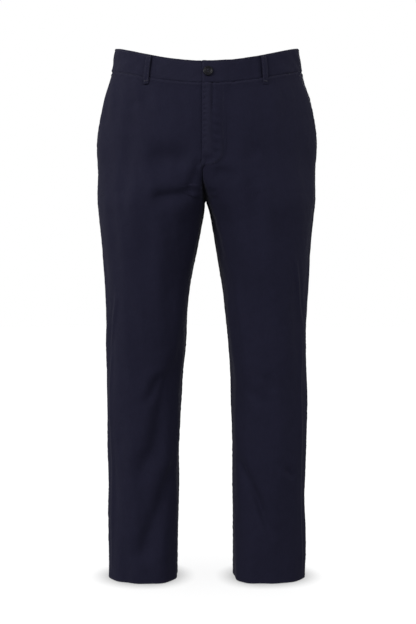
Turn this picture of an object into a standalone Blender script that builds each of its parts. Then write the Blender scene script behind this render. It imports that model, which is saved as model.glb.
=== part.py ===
"""Dress trousers in their worn form with no wearer inside, modelled piece by piece as they are sewn.

Metres, +Z up. The front faces -Y and the wearer's left side is at +X. The origin is the middle of the waist
opening, level with the top of the waistband at the sides, where a wearer's waist holds the trousers up.

The cloth follows one surface. At each height it has a level section on each side of the body: from the front
centre seam round the side to the back centre seam, and below the crotch on round the leg. A place on it is a
height and a distance along the section from the front or the back seam. Each piece is a wall on that surface,
so pieces that are sewn together share their seam line and differ only by the seam gap.
"""

import math
from typing import NamedTuple

import bmesh
import bpy
import numpy as np
from mathutils import Matrix, Vector

COLLECTION = "dress_trousers"
RIGHT, LEFT = -1, 1
SIDE_NAMES = {RIGHT: "right", LEFT: "left"}
FRONT, BACK = "front", "back"

# Cloth and seams
CLOTH_WALL = 0.0015
BAND_WALL = 0.0020
SEAM_GAP = 0.0003
LAP_STEP = 0.0023  # a piece that laps over another lies this much further out
BAND_PROUD = 0.0006

# Waistline
BAND_DEPTH = 0.0455
SEAM_DROP_SHARE = 0.934  # the band is a little less deep in front
FRONT_DROP = 0.0514
FRONT_DROP_POWER = 1.40
BACK_RISE = 0.006

# Rise: the centre seams run down and under to the crotch point
CROTCH_Z = -0.300
CROTCH_Y = 0.010
FRONT_CURVE_TOP, FRONT_CURVE_POWER = -0.228, 2.2
BACK_CURVE_TOP, BACK_CURVE_POWER = -0.165, 2.1
CLEFT_TOP, CLEFT_BOTTOM = -0.205, -0.330  # where the legs round in towards the centre seam
ROUND_TOP, ROUND_BOTTOM = -0.225, -0.285  # where the dip between them turns from a fold to a round
LEG_GAP = 0.0012  # half the gap between the legs at the crotch point

# Fly: the left front laps over the right front
FLY_LAP = 0.009
FLY_UNDER = 0.006
FLY_BOTTOM, FLY_FADE = -0.240, 0.022
FLY_LAP_FULL, FLY_LAP_END = 0.012, 0.034  # the lap stands out fully to the first and is gone at the second
SHIELD_FROM, SHIELD_TO = -0.012, 0.036
SHIELD_WALL = 0.0012
SHIELD_INSET = 0.0024
SHIELD_HEIGHTS = (-0.048, -0.085, -0.125, -0.165, -0.205, -0.236)

# Slanting side pockets
POCKET_TOP_SETBACK = 0.040
POCKET_BOTTOM = -0.203
POCKET_CURVE_POWER = 1.6
POCKET_UNDERLAP = 0.014
FACING_INSET = 0.0029
FACING_HEIGHTS = (-0.0460, -0.070, -0.100, -0.130, -0.160, -0.184, -0.199)

# Waistband overlap, belt loops and button
BAND_LAP = 0.0085
BAND_UNDER = 0.030
BAND_LAP_STEP = 0.0027
BAND_LAP_FULL, BAND_LAP_END = 0.036, 0.057
LOOP_WIDTH = 0.0115
LOOP_WALL = 0.0016
BUTTON_X, BUTTON_Z = 0.0022, -0.0728
BUTTON_STANDOFF = 0.0006
# The button's turned outline, radius and height, from the middle of its face round to the middle of its back
BUTTON_PROFILE = (
    (0.0, 0.0024),
    (0.0060, 0.0024),
    (0.0071, 0.0033),
    (0.0084, 0.0033),
    (0.0092, 0.0024),
    (0.0092, 0.0013),
    (0.0078, 0.0),
    (0.0, 0.0),
)
BUTTON_HOLE_RADIUS, BUTTON_HOLE_RING = 0.0009, 0.0017

SEGMENTS = 14  # straight pieces in each quarter of a section when it is measured
STEP = 0.0015  # distance between the points that a surface direction is taken from
PANEL_COLUMNS = {
    FRONT: (0.0, 0.05, 0.12, 0.20, 0.30, 0.41, 0.53, 0.65, 0.76, 0.86, 0.94, 1.0),
    BACK: (0.0, 0.05, 0.12, 0.20, 0.30, 0.41, 0.53, 0.65, 0.77, 0.89, 1.0),
}
BAND_COLUMNS = (0.0, 0.09, 0.18, 0.27, 0.37, 0.49, 0.61, 0.73, 0.83, 0.92, 1.0)


class Section(NamedTuple):
    """A level section: how far out it reaches at each side and how far forward and back, in metres."""

    z: float
    right: float
    left: float
    front: float
    back: float


class LegGap(NamedTuple):
    """How far each leg's inside lies from the middle, below the crotch, and how square it turns in front.

    A squareness of 2 is an even round.
    """

    z: float
    right: float
    left: float
    square: float


class Row(NamedTuple):
    """A line of points across a leg panel: its height at the side seam and at the inner edge."""

    side: float
    inner: float
    waist: float  # share of the waistline's dip and rise that it follows


SECTIONS = [
    Section(0.000, 0.1830, 0.1830, -0.1120, 0.1080),
    Section(-0.045, 0.1890, 0.1890, -0.1150, 0.1130),
    Section(-0.070, 0.1960, 0.1952, -0.1170, 0.1190),
    Section(-0.100, 0.2049, 0.2044, -0.1195, 0.1275),
    Section(-0.148, 0.2136, 0.2142, -0.1230, 0.1400),
    Section(-0.200, 0.2194, 0.2196, -0.1240, 0.1475),
    Section(-0.245, 0.2174, 0.2174, -0.1215, 0.1445),
    Section(-0.300, 0.2173, 0.2155, -0.1140, 0.1290),
    Section(-0.340, 0.2144, 0.2116, -0.1085, 0.1180),
    Section(-0.404, 0.2096, 0.2064, -0.1010, 0.1060),
    Section(-0.468, 0.2038, 0.2028, -0.0940, 0.0960),
    Section(-0.532, 0.2012, 0.1990, -0.0880, 0.0890),
    Section(-0.600, 0.1996, 0.1980, -0.0830, 0.0840),
    Section(-0.700, 0.1992, 0.1984, -0.0770, 0.0805),
    Section(-0.788, 0.1976, 0.1972, -0.0730, 0.0780),
    Section(-0.852, 0.1964, 0.1963, -0.0705, 0.0755),
    Section(-0.964, 0.1960, 0.1962, -0.0675, 0.0720),
    Section(-1.049, 0.1960, 0.1960, -0.0660, 0.0700),
]

LEG_GAPS = [
    LegGap(-0.300, LEG_GAP, LEG_GAP, 3.6),
    LegGap(-0.340, 0.0086, 0.0082, 3.0),
    LegGap(-0.404, 0.0218, 0.0206, 2.3),
    LegGap(-0.468, 0.0326, 0.0318, 2.0),
    LegGap(-0.532, 0.0394, 0.0382, 2.0),
    LegGap(-0.596, 0.0446, 0.0438, 2.0),
    LegGap(-0.660, 0.0515, 0.0490, 2.0),
    LegGap(-0.788, 0.0554, 0.0510, 2.0),
    LegGap(-0.964, 0.0588, 0.0524, 2.3),
    LegGap(-1.049, 0.0596, 0.0534, 2.7),
]

PANEL_ROWS = [
    Row(-0.0455, -0.0455, SEAM_DROP_SHARE),
    Row(-0.070, -0.070, 0.80),
    Row(-0.100, -0.100, 0.62),
    Row(-0.130, -0.130, 0.44),
    Row(-0.160, -0.160, 0.27),
    Row(-0.186, -0.190, 0.12),
    Row(-0.203, -0.218, 0.03),
    Row(-0.230, -0.242, 0.0),
    Row(-0.256, -0.262, 0.0),
    Row(-0.282, -0.278, 0.0),
    Row(-0.306, -0.289, 0.0),
    Row(-0.330, -0.2965, 0.0),
    Row(-0.352, CROTCH_Z, 0.0),
    Row(-0.378, -0.322, 0.0),
    Row(-0.408, -0.358, 0.0),
    Row(-0.445, -0.412, 0.0),
    Row(-0.490, -0.472, 0.0),
    Row(-0.545, -0.538, 0.0),
    Row(-0.610, -0.610, 0.0),
    Row(-0.685, -0.685, 0.0),
    Row(-0.765, -0.765, 0.0),
    Row(-0.850, -0.850, 0.0),
    Row(-0.950, -0.950, 0.0),
    Row(-1.049, -1.049, 0.0),
]

# How far in front of the widest line the side seam runs
SIDE_SEAM_FORWARD = [
    (-0.06, 0.0),
    (-0.14, 0.006),
    (-0.20, 0.013),
    (-0.32, 0.021),
    (-0.45, 0.029),
    (-0.54, 0.029),
    (-0.65, 0.021),
    (-1.049, 0.018),
]

# Belt loop: how far down from the waistband's top, and how far out its inside lies
LOOP_PROFILE = [
    (0.0025, 0.0011),
    (0.0080, 0.0026),
    (0.0160, 0.0038),
    (0.0260, 0.0042),
    (0.0370, 0.0040),
    (0.0455, 0.0032),
    (0.0510, 0.0018),
    (0.0555, 0.0006),
]

# Belt loops: name, side, half, distance from that half's centre seam, shift of the lower end
BELT_LOOPS = [
    ("right_front_belt_loop", RIGHT, FRONT, 0.1130, 0.0030),
    ("left_front_belt_loop", LEFT, FRONT, 0.1110, 0.0000),
    ("right_back_belt_loop", RIGHT, BACK, 0.1550, 0.0),
    ("left_back_belt_loop", LEFT, BACK, 0.1550, 0.0),
    ("centre_back_belt_loop", LEFT, BACK, 0.0, 0.0),
]


def smoothstep(value, low, high):
    """0 at low, 1 at high and an even ease between them."""
    t = np.clip((np.asarray(value, float) - low) / (high - low), 0.0, 1.0)
    return t * t * (3.0 - 2.0 * t)


def smooth_curve(heights, values, z):
    """A smooth curve down through a table's rows, read at the heights z."""
    x = -np.asarray(heights, float)
    y = np.asarray(values, float)
    q = np.clip(-np.asarray(z, float), x[0], x[-1])
    slope = np.gradient(y, x)
    i = np.clip(np.searchsorted(x, q, side="right") - 1, 0, len(x) - 2)
    h = x[i + 1] - x[i]
    t = (q - x[i]) / h
    return (
        (1 + 2 * t) * (1 - t) ** 2 * y[i]
        + t * (1 - t) ** 2 * h * slope[i]
        + t * t * (3 - 2 * t) * y[i + 1]
        + t * t * (t - 1) * h * slope[i + 1]
    )


def table(rows, column, z):
    """One named column of a table of rows, as a smooth curve at the heights z."""
    return smooth_curve([row.z for row in rows], [getattr(row, column) for row in rows], z)


def rise_curve(y_wall, z, top, power):
    """Where a centre seam lies: on the front or back wall, then curving under to the crotch point."""
    r = np.clip((top - z) / (top - CROTCH_Z), 0.0, 1.0)
    return CROTCH_Y + (y_wall - CROTCH_Y) * (1.0 - r**power) ** (1.0 / power)


def section_path(side, z):
    """The level sections at heights z: points from the front seam round the side to the back seam."""
    z = np.asarray(z, float)[:, None]
    name = SIDE_NAMES[side]
    outer = table(SECTIONS, name, z)
    front, back = table(SECTIONS, "front", z), table(SECTIONS, "back", z)
    leg = z <= CROTCH_Z
    inner = np.where(leg, table(LEG_GAPS, name, z), 0.0)
    split = smoothstep(z, CLEFT_TOP, CLEFT_BOTTOM)
    middle = inner + (outer - inner) * 0.5 * split
    seam_front = np.where(leg, CROTCH_Y, rise_curve(front, z, FRONT_CURVE_TOP, FRONT_CURVE_POWER))
    seam_back = np.where(leg, CROTCH_Y, rise_curve(back, z, BACK_CURVE_TOP, BACK_CURVE_POWER))
    angle = np.linspace(0.0, math.pi / 2, SEGMENTS + 1)[None, :]
    sine, cosine = np.sin(angle), np.cos(angle)
    roundness = smoothstep(z, ROUND_TOP, ROUND_BOTTOM)
    back_ease = (1.0 - roundness) * cosine**2 + roundness * cosine
    widest_y = 0.5 * (front + back) * smoothstep(z, -0.2, -0.5)
    corner = 2.0 / table(LEG_GAPS, "square", z)
    front_ease = (1.0 - roundness) * cosine**2 + roundness * cosine**corner
    front_x = middle - (middle - inner) * sine**corner
    back_x = middle - (middle - inner) * sine
    outer_x = middle + (outer - middle) * sine
    pieces_x = [front_x[:, ::-1], outer_x[:, 1:], outer_x[:, -2::-1], back_x[:, 1:]]
    pieces_y = [
        (seam_front + (front - seam_front) * front_ease)[:, ::-1],
        (widest_y + (front - widest_y) * cosine)[:, 1:],
        (widest_y + (back - widest_y) * cosine)[:, -2::-1],
        (seam_back + (back - seam_back) * back_ease)[:, 1:],
    ]
    return np.stack([np.concatenate(pieces_x, axis=1), np.concatenate(pieces_y, axis=1)], axis=2)


def path_lengths(path):
    """Distance along each section to each of its points."""
    steps = np.linalg.norm(np.diff(path, axis=1), axis=2)
    return np.concatenate([np.zeros((len(path), 1)), np.cumsum(steps, axis=1)], axis=1)


def half_length(side, half, z):
    """Distance from a half's centre seam, or the inseam, to the widest line, at the heights z."""
    along = path_lengths(section_path(side, z))
    widest = along[:, 2 * SEGMENTS]
    return widest if half == FRONT else along[:, -1] - widest


def read_path(side, distance, z):
    """Points on one side's sections, a distance round from the front seam."""
    path = section_path(side, z)
    along = path_lengths(path)
    distance = np.clip(distance, 0.0, along[:, -1])
    i = np.clip((along <= distance[:, None]).sum(axis=1) - 1, 0, along.shape[1] - 2)
    k = np.arange(len(distance))
    span = np.maximum(along[k, i + 1] - along[k, i], 1e-12)
    t = ((distance - along[k, i]) / span)[:, None]
    xy = path[k, i] * (1.0 - t) + path[k, i + 1] * t
    return np.column_stack([side * xy[:, 0], xy[:, 1], z])


def surface(side, half, distance, z):
    """Points of the cloth's surface. A distance below 0 runs on past the seam that it is measured from."""
    distance, z = np.broadcast_arrays(np.asarray(distance, float), np.asarray(z, float))
    shape = distance.shape
    distance, z = distance.ravel(), z.ravel()
    total = path_lengths(section_path(side, z))[:, -1]
    from_front = distance if half == FRONT else total - distance
    leg = z <= CROTCH_Z
    from_front = np.where(leg, np.mod(from_front, total), from_front)
    points = read_path(side, from_front, z)
    beyond = ~leg & (distance < 0.0)
    if beyond.any():
        far = -distance[beyond]
        other_total = path_lengths(section_path(-side, z[beyond]))[:, -1]
        points[beyond] = read_path(-side, far if half == FRONT else other_total - far, z[beyond])
    return points.reshape(*shape, 3)


def outward(side, half, distance, z):
    """Unit directions out of the cloth's surface."""
    distance, z = np.broadcast_arrays(np.asarray(distance, float), np.asarray(z, float))
    across = surface(side, half, distance + STEP, z) - surface(side, half, distance - STEP, z)
    leg = z <= CROTCH_Z
    above = np.where(leg, z, z + STEP)
    below = np.where(leg, z - STEP, z)
    down = surface(side, half, distance, below) - surface(side, half, distance, above)
    normal = np.cross(across, down)
    normal /= np.linalg.norm(normal, axis=-1, keepdims=True)
    return normal * (side if half == BACK else -side)


def waist_dip(half, share_round):
    """How far the waistline lies above or below its side level; 0 round is the centre and 1 the side."""
    cosine = np.cos(np.clip(share_round, 0.0, 1.0) * math.pi / 2)
    return -FRONT_DROP * cosine**FRONT_DROP_POWER if half == FRONT else BACK_RISE * cosine**2


def side_seam(side, half, z):
    """Distance from a half's centre seam or inseam to the side seam."""
    heights, shifts = zip(*SIDE_SEAM_FORWARD)
    forward = smooth_curve(heights, shifts, z)
    return half_length(side, half, z) + (-forward if half == FRONT else forward)


def pocket_setback(z):
    """How far in front of the side seam the pocket mouth runs."""
    t = np.clip((z + BAND_DEPTH) / (POCKET_BOTTOM + BAND_DEPTH), 0.0, 1.0)
    return POCKET_TOP_SETBACK * (1.0 - t**POCKET_CURVE_POWER)


def fly_edge(z, lap):
    """Distance past the centre that a front's edge keeps beside the fly, fading out below it."""
    return lap * smoothstep(z, FLY_BOTTOM - FLY_FADE, FLY_BOTTOM)


def waist_share(z):
    """The share of the waistline's dip and rise that a panel's surface follows at a height at the side."""
    return np.interp(z, [row.side for row in PANEL_ROWS][::-1], [row.waist for row in PANEL_ROWS][::-1])


def settle(side, half, rows_z, waist, start, end, columns):
    """Distances and heights of a grid whose rows follow the waistline and whose columns run between two edges."""
    columns = np.atleast_2d(columns)
    z = np.repeat(rows_z[:, None], columns.shape[1], axis=1) if rows_z.ndim == 1 else rows_z.copy()
    level = z.copy()
    for _ in range(4):
        flat = z.ravel()
        length = half_length(side, half, flat).reshape(z.shape)
        first, last = start(flat).reshape(z.shape), end(flat).reshape(z.shape)
        distance = first + (last - first) * columns
        z = level + waist[:, None] * waist_dip(half, np.abs(distance) / length)
    return distance, z


def material(name, colour, roughness, metallic=0.0):
    """A plain finish."""
    made = bpy.data.materials.new(name)
    made.use_nodes = True
    shader = made.node_tree.nodes["Principled BSDF"]
    shader.inputs["Base Color"].default_value = (*colour, 1.0)
    shader.inputs["Roughness"].default_value = roughness
    shader.inputs["Metallic"].default_value = metallic
    return made


def add_object(name, mesh, collection, finish):
    """A named object for one piece."""
    mesh.materials.append(finish)
    made = bpy.data.objects.new(name, mesh)
    collection.objects.link(made)
    return made


def cloth_wall(name, points, normals, offset, wall, collection, finish):
    """A closed wall of cloth: its outer face is the grid moved out by offset, and its inner face lies inside."""
    offset = np.broadcast_to(np.asarray(offset, float), points.shape[:2])[..., None]
    outer, inner = points + normals * offset, points + normals * (offset - wall)
    build = bmesh.new()
    faces = []
    for grid in (outer, inner):
        faces.append([[build.verts.new(p) for p in row] for row in grid])
    rows, columns = points.shape[:2]
    for grid in faces:
        for r in range(rows - 1):
            for c in range(columns - 1):
                build.faces.new((grid[r][c], grid[r][c + 1], grid[r + 1][c + 1], grid[r + 1][c]))
    border = [(0, c) for c in range(columns - 1)]
    border += [(r, columns - 1) for r in range(rows - 1)]
    border += [(rows - 1, c) for c in range(columns - 1, 0, -1)]
    border += [(r, 0) for r in range(rows - 1, 0, -1)]
    for (r, c), (r2, c2) in zip(border, border[1:] + border[:1]):
        build.faces.new((faces[0][r][c], faces[0][r2][c2], faces[1][r2][c2], faces[1][r][c]))
    bmesh.ops.recalc_face_normals(build, faces=build.faces)
    mesh = bpy.data.meshes.new(name)
    build.to_mesh(mesh)
    build.free()
    mesh.shade_smooth()
    mesh.set_sharp_from_angle(angle=math.radians(50))
    return add_object(name, mesh, collection, finish)


def panel_rows(half, columns):
    """Heights of a leg panel's rows at each column, before the waistline's dip is added."""
    side = np.array([row.side for row in PANEL_ROWS])[:, None]
    inner = np.array([row.inner for row in PANEL_ROWS])[:, None]
    return side + (inner - side) * (1.0 - columns[None, :]) ** 2


def leg_panel(side, half, collection, finish):
    """One of the four leg panels, from the waistband seam to the hem."""
    columns = np.array(PANEL_COLUMNS[half])
    waist = np.array([row.waist for row in PANEL_ROWS])
    lap = 0.0
    if half == FRONT:
        lap = -FLY_LAP if side == LEFT else FLY_LAP
    under = -FLY_UNDER if half == FRONT and side == RIGHT else None

    def inner_edge(z):
        if half == BACK:
            return np.full_like(z, SEAM_GAP / 2)
        seam = fly_edge(z, lap) + SEAM_GAP / 2
        if under is None:
            return seam
        tucked = smoothstep(z, FLY_BOTTOM, FLY_BOTTOM + 0.020)
        return seam + (under - seam) * tucked

    def outer_edge(z):
        edge = side_seam(side, half, z) - SEAM_GAP / 2
        return edge - pocket_setback(z) if half == FRONT else edge

    distance, z = settle(side, half, panel_rows(half, columns), waist, inner_edge, outer_edge, columns)
    offset = np.zeros_like(z)
    if half == FRONT and side == LEFT:
        reach = smoothstep(distance, FLY_LAP_END, FLY_LAP_FULL)
        offset = LAP_STEP * reach * smoothstep(z, FLY_BOTTOM - 0.022, FLY_BOTTOM - 0.004)
    name = f"{SIDE_NAMES[side]}_{half}_panel"
    points, normals = surface(side, half, distance, z), outward(side, half, distance, z)
    return cloth_wall(name, points, normals, offset, CLOTH_WALL, collection, finish)


def waistband_half(side, collection, finish):
    """Half of the waistband, from its end at the fly round to the centre back."""
    columns = np.array(BAND_COLUMNS)
    rows_z = np.array([SEAM_GAP - BAND_DEPTH, -BAND_DEPTH / 2, 0.0])
    waist = np.array([SEAM_DROP_SHARE, (1.0 + SEAM_DROP_SHARE) / 2, 1.0])
    fly_end = -BAND_LAP if side == LEFT else -BAND_UNDER
    grids = []
    for half, start in ((FRONT, fly_end), (BACK, SEAM_GAP / 2)):
        distance, z = settle(
            side,
            half,
            rows_z,
            waist,
            lambda level, start=start: np.full_like(level, start),
            lambda level, half=half: half_length(side, half, level),
            columns,
        )
        offset = np.full_like(z, BAND_PROUD)
        if side == LEFT and half == FRONT:
            offset += BAND_LAP_STEP * smoothstep(distance, BAND_LAP_END, BAND_LAP_FULL)
        grids.append((surface(side, half, distance, z), outward(side, half, distance, z), offset))
    points, normals, offset = (
        np.concatenate([front, back[:, -2::-1]], axis=1) for front, back in zip(*grids)
    )
    name = f"{SIDE_NAMES[side]}_waistband"
    return cloth_wall(name, points, normals, offset, BAND_WALL, collection, finish)


def pocket_facing(side, collection, finish):
    """The hip piece that shows behind a slanting pocket mouth, between the mouth and the side seam."""
    across_mouth = np.array([0.0, 0.5, 1.0, 1.0, 1.0])
    under_front = np.array([0.0, 0.0, 0.0, 0.5, 1.0])
    rows_z = np.array(FACING_HEIGHTS)
    setback = pocket_setback(rows_z)[:, None]
    columns = (across_mouth * setback + under_front * POCKET_UNDERLAP) / (setback + POCKET_UNDERLAP)

    def outer_edge(z):
        return side_seam(side, FRONT, z) - SEAM_GAP / 2

    def inner_edge(z):
        return outer_edge(z) - pocket_setback(z) - POCKET_UNDERLAP

    distance, z = settle(side, FRONT, rows_z, waist_share(rows_z), outer_edge, inner_edge, columns)
    offset = -FACING_INSET * smoothstep(across_mouth, 0.0, 1.0)[None, :]
    name = f"{SIDE_NAMES[side]}_pocket_facing"
    points, normals = surface(side, FRONT, distance, z), outward(side, FRONT, distance, z)
    return cloth_wall(name, points, normals, offset, CLOTH_WALL, collection, finish)


def fly_shield(collection, finish):
    """The strip sewn to the right front that closes the fly from behind."""
    columns = np.linspace(0.0, 1.0, 4)
    rows_z = np.array(SHIELD_HEIGHTS)
    distance, z = settle(
        LEFT,
        FRONT,
        rows_z,
        waist_share(rows_z),
        lambda level: np.full_like(level, SHIELD_FROM),
        lambda level: np.full_like(level, SHIELD_TO),
        columns,
    )
    points, normals = surface(LEFT, FRONT, distance, z), outward(LEFT, FRONT, distance, z)
    return cloth_wall("fly_shield", points, normals, -SHIELD_INSET, SHIELD_WALL, collection, finish)


def belt_loop(name, side, half, centre, lean, collection, finish):
    """A strip from the top of the waistband to just below it, standing off it in the middle for a belt."""
    down, offset = np.array(LOOP_PROFILE).T
    share = centre / half_length(side, half, np.array([-BAND_DEPTH / 2]))[0]
    across = np.array([-0.5, 0.0, 0.5]) * LOOP_WIDTH
    distance = centre + lean * (down / down[-1])[:, None] + across[None, :]
    z = np.repeat((waist_dip(half, share) - down)[:, None], len(across), axis=1)
    points, normals = surface(side, half, distance, z), outward(side, half, distance, z)
    return cloth_wall(name, points, normals, (offset + LOOP_WALL)[:, None], LOOP_WALL, collection, finish)


def button(collection, cutters, finish):
    """A turned four-hole button on the overlap of the waistband."""
    place = surface(LEFT, FRONT, np.array([BUTTON_X]), np.array([BUTTON_Z]))[0]
    normal = outward(LEFT, FRONT, np.array([BUTTON_X]), np.array([BUTTON_Z]))[0]
    lift = BAND_PROUD + BAND_LAP_STEP + BUTTON_STANDOFF
    turn = Vector(normal).to_track_quat("Z", "Y").to_matrix().to_4x4()
    seat = Matrix.Translation(Vector(place) + Vector(normal).normalized() * lift) @ turn

    profile = bmesh.new()
    turned = [profile.verts.new((radius, 0.0, height)) for radius, height in BUTTON_PROFILE]
    for upper, lower in zip(turned, turned[1:]):
        profile.edges.new((upper, lower))
    mesh = bpy.data.meshes.new("waist_button")
    profile.to_mesh(mesh)
    profile.free()
    body = add_object("waist_button", mesh, collection, finish)
    body.matrix_world = seat
    spin = body.modifiers.new("turn", "SCREW")
    spin.steps = spin.render_steps = 32
    spin.use_merge_vertices = True
    spin.merge_threshold = 0.00001
    for index in range(4):
        angle = math.pi / 4 + index * math.pi / 2
        hole = bmesh.new()
        bmesh.ops.create_cone(
            hole, cap_ends=True, segments=10, radius1=BUTTON_HOLE_RADIUS, radius2=BUTTON_HOLE_RADIUS, depth=0.012
        )
        offset = Vector((math.cos(angle), math.sin(angle), 0.0)) * BUTTON_HOLE_RING * math.sqrt(2.0)
        bmesh.ops.translate(hole, verts=hole.verts, vec=offset)
        cutter_mesh = bpy.data.meshes.new(f"button_hole_{index}")
        hole.to_mesh(cutter_mesh)
        hole.free()
        cutter = add_object(f"button_hole_{index}", cutter_mesh, cutters, finish)
        cutter.matrix_world = seat
        cutter.hide_render = True
        cutter.display_type = "WIRE"
        cut = body.modifiers.new(f"hole_{index}", "BOOLEAN")
        cut.operation = "DIFFERENCE"
        cut.object = cutter
    return body


def main():
    """Builds every piece."""
    for old in list(bpy.data.objects):
        bpy.data.objects.remove(old, do_unlink=True)
    pieces = bpy.data.collections.new(COLLECTION)
    cutters = bpy.data.collections.new("cutters")
    for made in (pieces, cutters):
        bpy.context.scene.collection.children.link(made)
    twill = material("navy_twill", (0.016, 0.017, 0.032), 0.85)
    dark_button = material("dark_button", (0.020, 0.020, 0.022), 0.35)
    for side in (RIGHT, LEFT):
        for half in (FRONT, BACK):
            leg_panel(side, half, pieces, twill)
        waistband_half(side, pieces, twill)
        pocket_facing(side, pieces, twill)
    fly_shield(pieces, twill)
    for name, side, half, centre, lean in BELT_LOOPS:
        belt_loop(name, side, half, centre, lean, pieces, twill)
    button(pieces, cutters, dark_button)


main()
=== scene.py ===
"""The finish of a pair of dress trousers: cloth shells with folds, seams and stitches, a button and a studio.

Metres, +Z up. The front faces -Y, the wearer's left side is at +X and the origin is the middle of the waist.
Every cloth piece is a thin closed shell on one form, which has a level section at each height on each side of
the body. A place on the form is a side, a half, a height and a distance round the section from the half's
centre seam, or from the inseam below the crotch.
"""

import logging
import math
from dataclasses import dataclass, field
from enum import Enum
from typing import Callable, NamedTuple, Sequence

import bmesh
import bpy
import numpy as np
from mathutils import Matrix, Vector


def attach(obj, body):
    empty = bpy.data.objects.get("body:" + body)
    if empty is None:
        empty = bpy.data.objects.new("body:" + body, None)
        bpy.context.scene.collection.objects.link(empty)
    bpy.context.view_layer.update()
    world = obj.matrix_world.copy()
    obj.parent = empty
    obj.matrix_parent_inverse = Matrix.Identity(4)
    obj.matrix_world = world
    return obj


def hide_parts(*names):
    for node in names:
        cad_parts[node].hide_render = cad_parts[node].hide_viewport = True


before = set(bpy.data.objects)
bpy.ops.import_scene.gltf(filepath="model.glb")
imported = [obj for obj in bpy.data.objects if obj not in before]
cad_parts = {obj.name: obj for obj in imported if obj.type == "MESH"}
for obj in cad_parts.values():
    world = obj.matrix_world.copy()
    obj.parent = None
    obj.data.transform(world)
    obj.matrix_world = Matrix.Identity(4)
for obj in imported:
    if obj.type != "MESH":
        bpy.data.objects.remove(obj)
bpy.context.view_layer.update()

LOG = logging.getLogger("dress_trousers")
BODY = "root"

Array = np.ndarray
Span = tuple[float, float]
Triple = tuple[float, float, float]
Thing = bpy.types.Object
Finish = bpy.types.Material
Socket = bpy.types.NodeSocket

# The angles, in degrees, past which an edge of the cloth, the thread and the button stays crisp
CLOTH_CRISP, THREAD_CRISP, BUTTON_CRISP = 60.0, 45.0, 35.0


class Sign(Enum):
    """An option whose value is the sign of an axis."""

    @property
    def word(self) -> str:
        """The option's name in piece names."""
        return self.name.lower()


class Side(Sign):
    """The wearer's side, as the sign of X."""

    RIGHT = -1
    LEFT = 1


class Half(Sign):
    """The front or the back of the body, as the sign of Y."""

    FRONT = -1
    BACK = 1


RIGHT, LEFT, FRONT, BACK = Side.RIGHT, Side.LEFT, Half.FRONT, Half.BACK


class Section(NamedTuple):
    """A level section: how far out it reaches at each side and how far forward and back."""

    z: float
    right: float
    left: float
    front: float
    back: float


class LegGap(NamedTuple):
    """How far each leg's inside lies from the middle, below the crotch, and how square it turns in front.

    A squareness of 2 is an even round.
    """

    z: float
    right: float
    left: float
    square: float


class Row(NamedTuple):
    """A line across a leg panel: its height at the side seam, at the inner edge, and its share of the dip."""

    side: float
    inner: float
    waist: float


SECTIONS = tuple(
    Section(*row)
    for row in (
        (0.000, 0.1830, 0.1830, -0.1120, 0.1080), (-0.045, 0.1890, 0.1890, -0.1150, 0.1130),
        (-0.070, 0.1960, 0.1952, -0.1170, 0.1190), (-0.100, 0.2049, 0.2044, -0.1195, 0.1275),
        (-0.148, 0.2136, 0.2142, -0.1230, 0.1400), (-0.200, 0.2194, 0.2196, -0.1240, 0.1475),
        (-0.245, 0.2174, 0.2174, -0.1215, 0.1445), (-0.300, 0.2173, 0.2155, -0.1140, 0.1290),
        (-0.340, 0.2144, 0.2116, -0.1085, 0.1180), (-0.404, 0.2096, 0.2064, -0.1010, 0.1060),
        (-0.468, 0.2038, 0.2028, -0.0940, 0.0960), (-0.532, 0.2012, 0.1990, -0.0880, 0.0890),
        (-0.600, 0.1996, 0.1980, -0.0830, 0.0840), (-0.700, 0.1992, 0.1984, -0.0770, 0.0805),
        (-0.788, 0.1976, 0.1972, -0.0730, 0.0780), (-0.852, 0.1964, 0.1963, -0.0705, 0.0755),
        (-0.964, 0.1960, 0.1962, -0.0675, 0.0720), (-1.049, 0.1960, 0.1960, -0.0660, 0.0700),
    )
)

LEG_GAPS = tuple(
    LegGap(*row)
    for row in (
        (-0.300, 0.0012, 0.0012, 3.6), (-0.340, 0.0086, 0.0082, 3.0), (-0.404, 0.0218, 0.0206, 2.3),
        (-0.468, 0.0326, 0.0318, 2.0), (-0.532, 0.0394, 0.0382, 2.0), (-0.596, 0.0446, 0.0438, 2.0),
        (-0.660, 0.0515, 0.0490, 2.0), (-0.788, 0.0554, 0.0510, 2.0), (-0.964, 0.0588, 0.0524, 2.3),
        (-1.049, 0.0596, 0.0534, 2.7),
    )
)

PANEL_ROWS = tuple(
    Row(*row)
    for row in (
        (-0.0455, -0.0455, 0.934), (-0.070, -0.070, 0.80), (-0.100, -0.100, 0.62), (-0.130, -0.130, 0.44),
        (-0.160, -0.160, 0.27), (-0.186, -0.190, 0.12), (-0.203, -0.218, 0.03), (-0.230, -0.242, 0.0),
        (-0.256, -0.262, 0.0), (-0.282, -0.278, 0.0), (-0.306, -0.289, 0.0), (-0.330, -0.2965, 0.0),
        (-0.352, -0.300, 0.0), (-0.378, -0.322, 0.0), (-0.408, -0.358, 0.0), (-0.445, -0.412, 0.0),
        (-0.490, -0.472, 0.0), (-0.545, -0.538, 0.0), (-0.610, -0.610, 0.0), (-0.685, -0.685, 0.0),
        (-0.765, -0.765, 0.0), (-0.850, -0.850, 0.0), (-0.950, -0.950, 0.0), (-1.049, -1.049, 0.0),
    )
)

# How far in front of the widest line the side seam runs, at heights from the waist down
SIDE_SEAM_FORWARD = (
    (-0.06, 0.0), (-0.14, 0.006), (-0.20, 0.013), (-0.32, 0.021),
    (-0.45, 0.029), (-0.54, 0.029), (-0.65, 0.021), (-1.049, 0.018),
)


def ease(value: Array, low: float, high: float) -> Array:
    """Eases from 0 to 1.

    Args:
        value: where to read the ease.
        low: where it is 0.
        high: where it is 1; it may be under low.

    Returns:
        The eased values, from 0 to 1.
    """
    t = np.clip((np.asarray(value, float) - low) / (high - low), 0.0, 1.0)
    return t * t * (3.0 - 2.0 * t)


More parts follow.
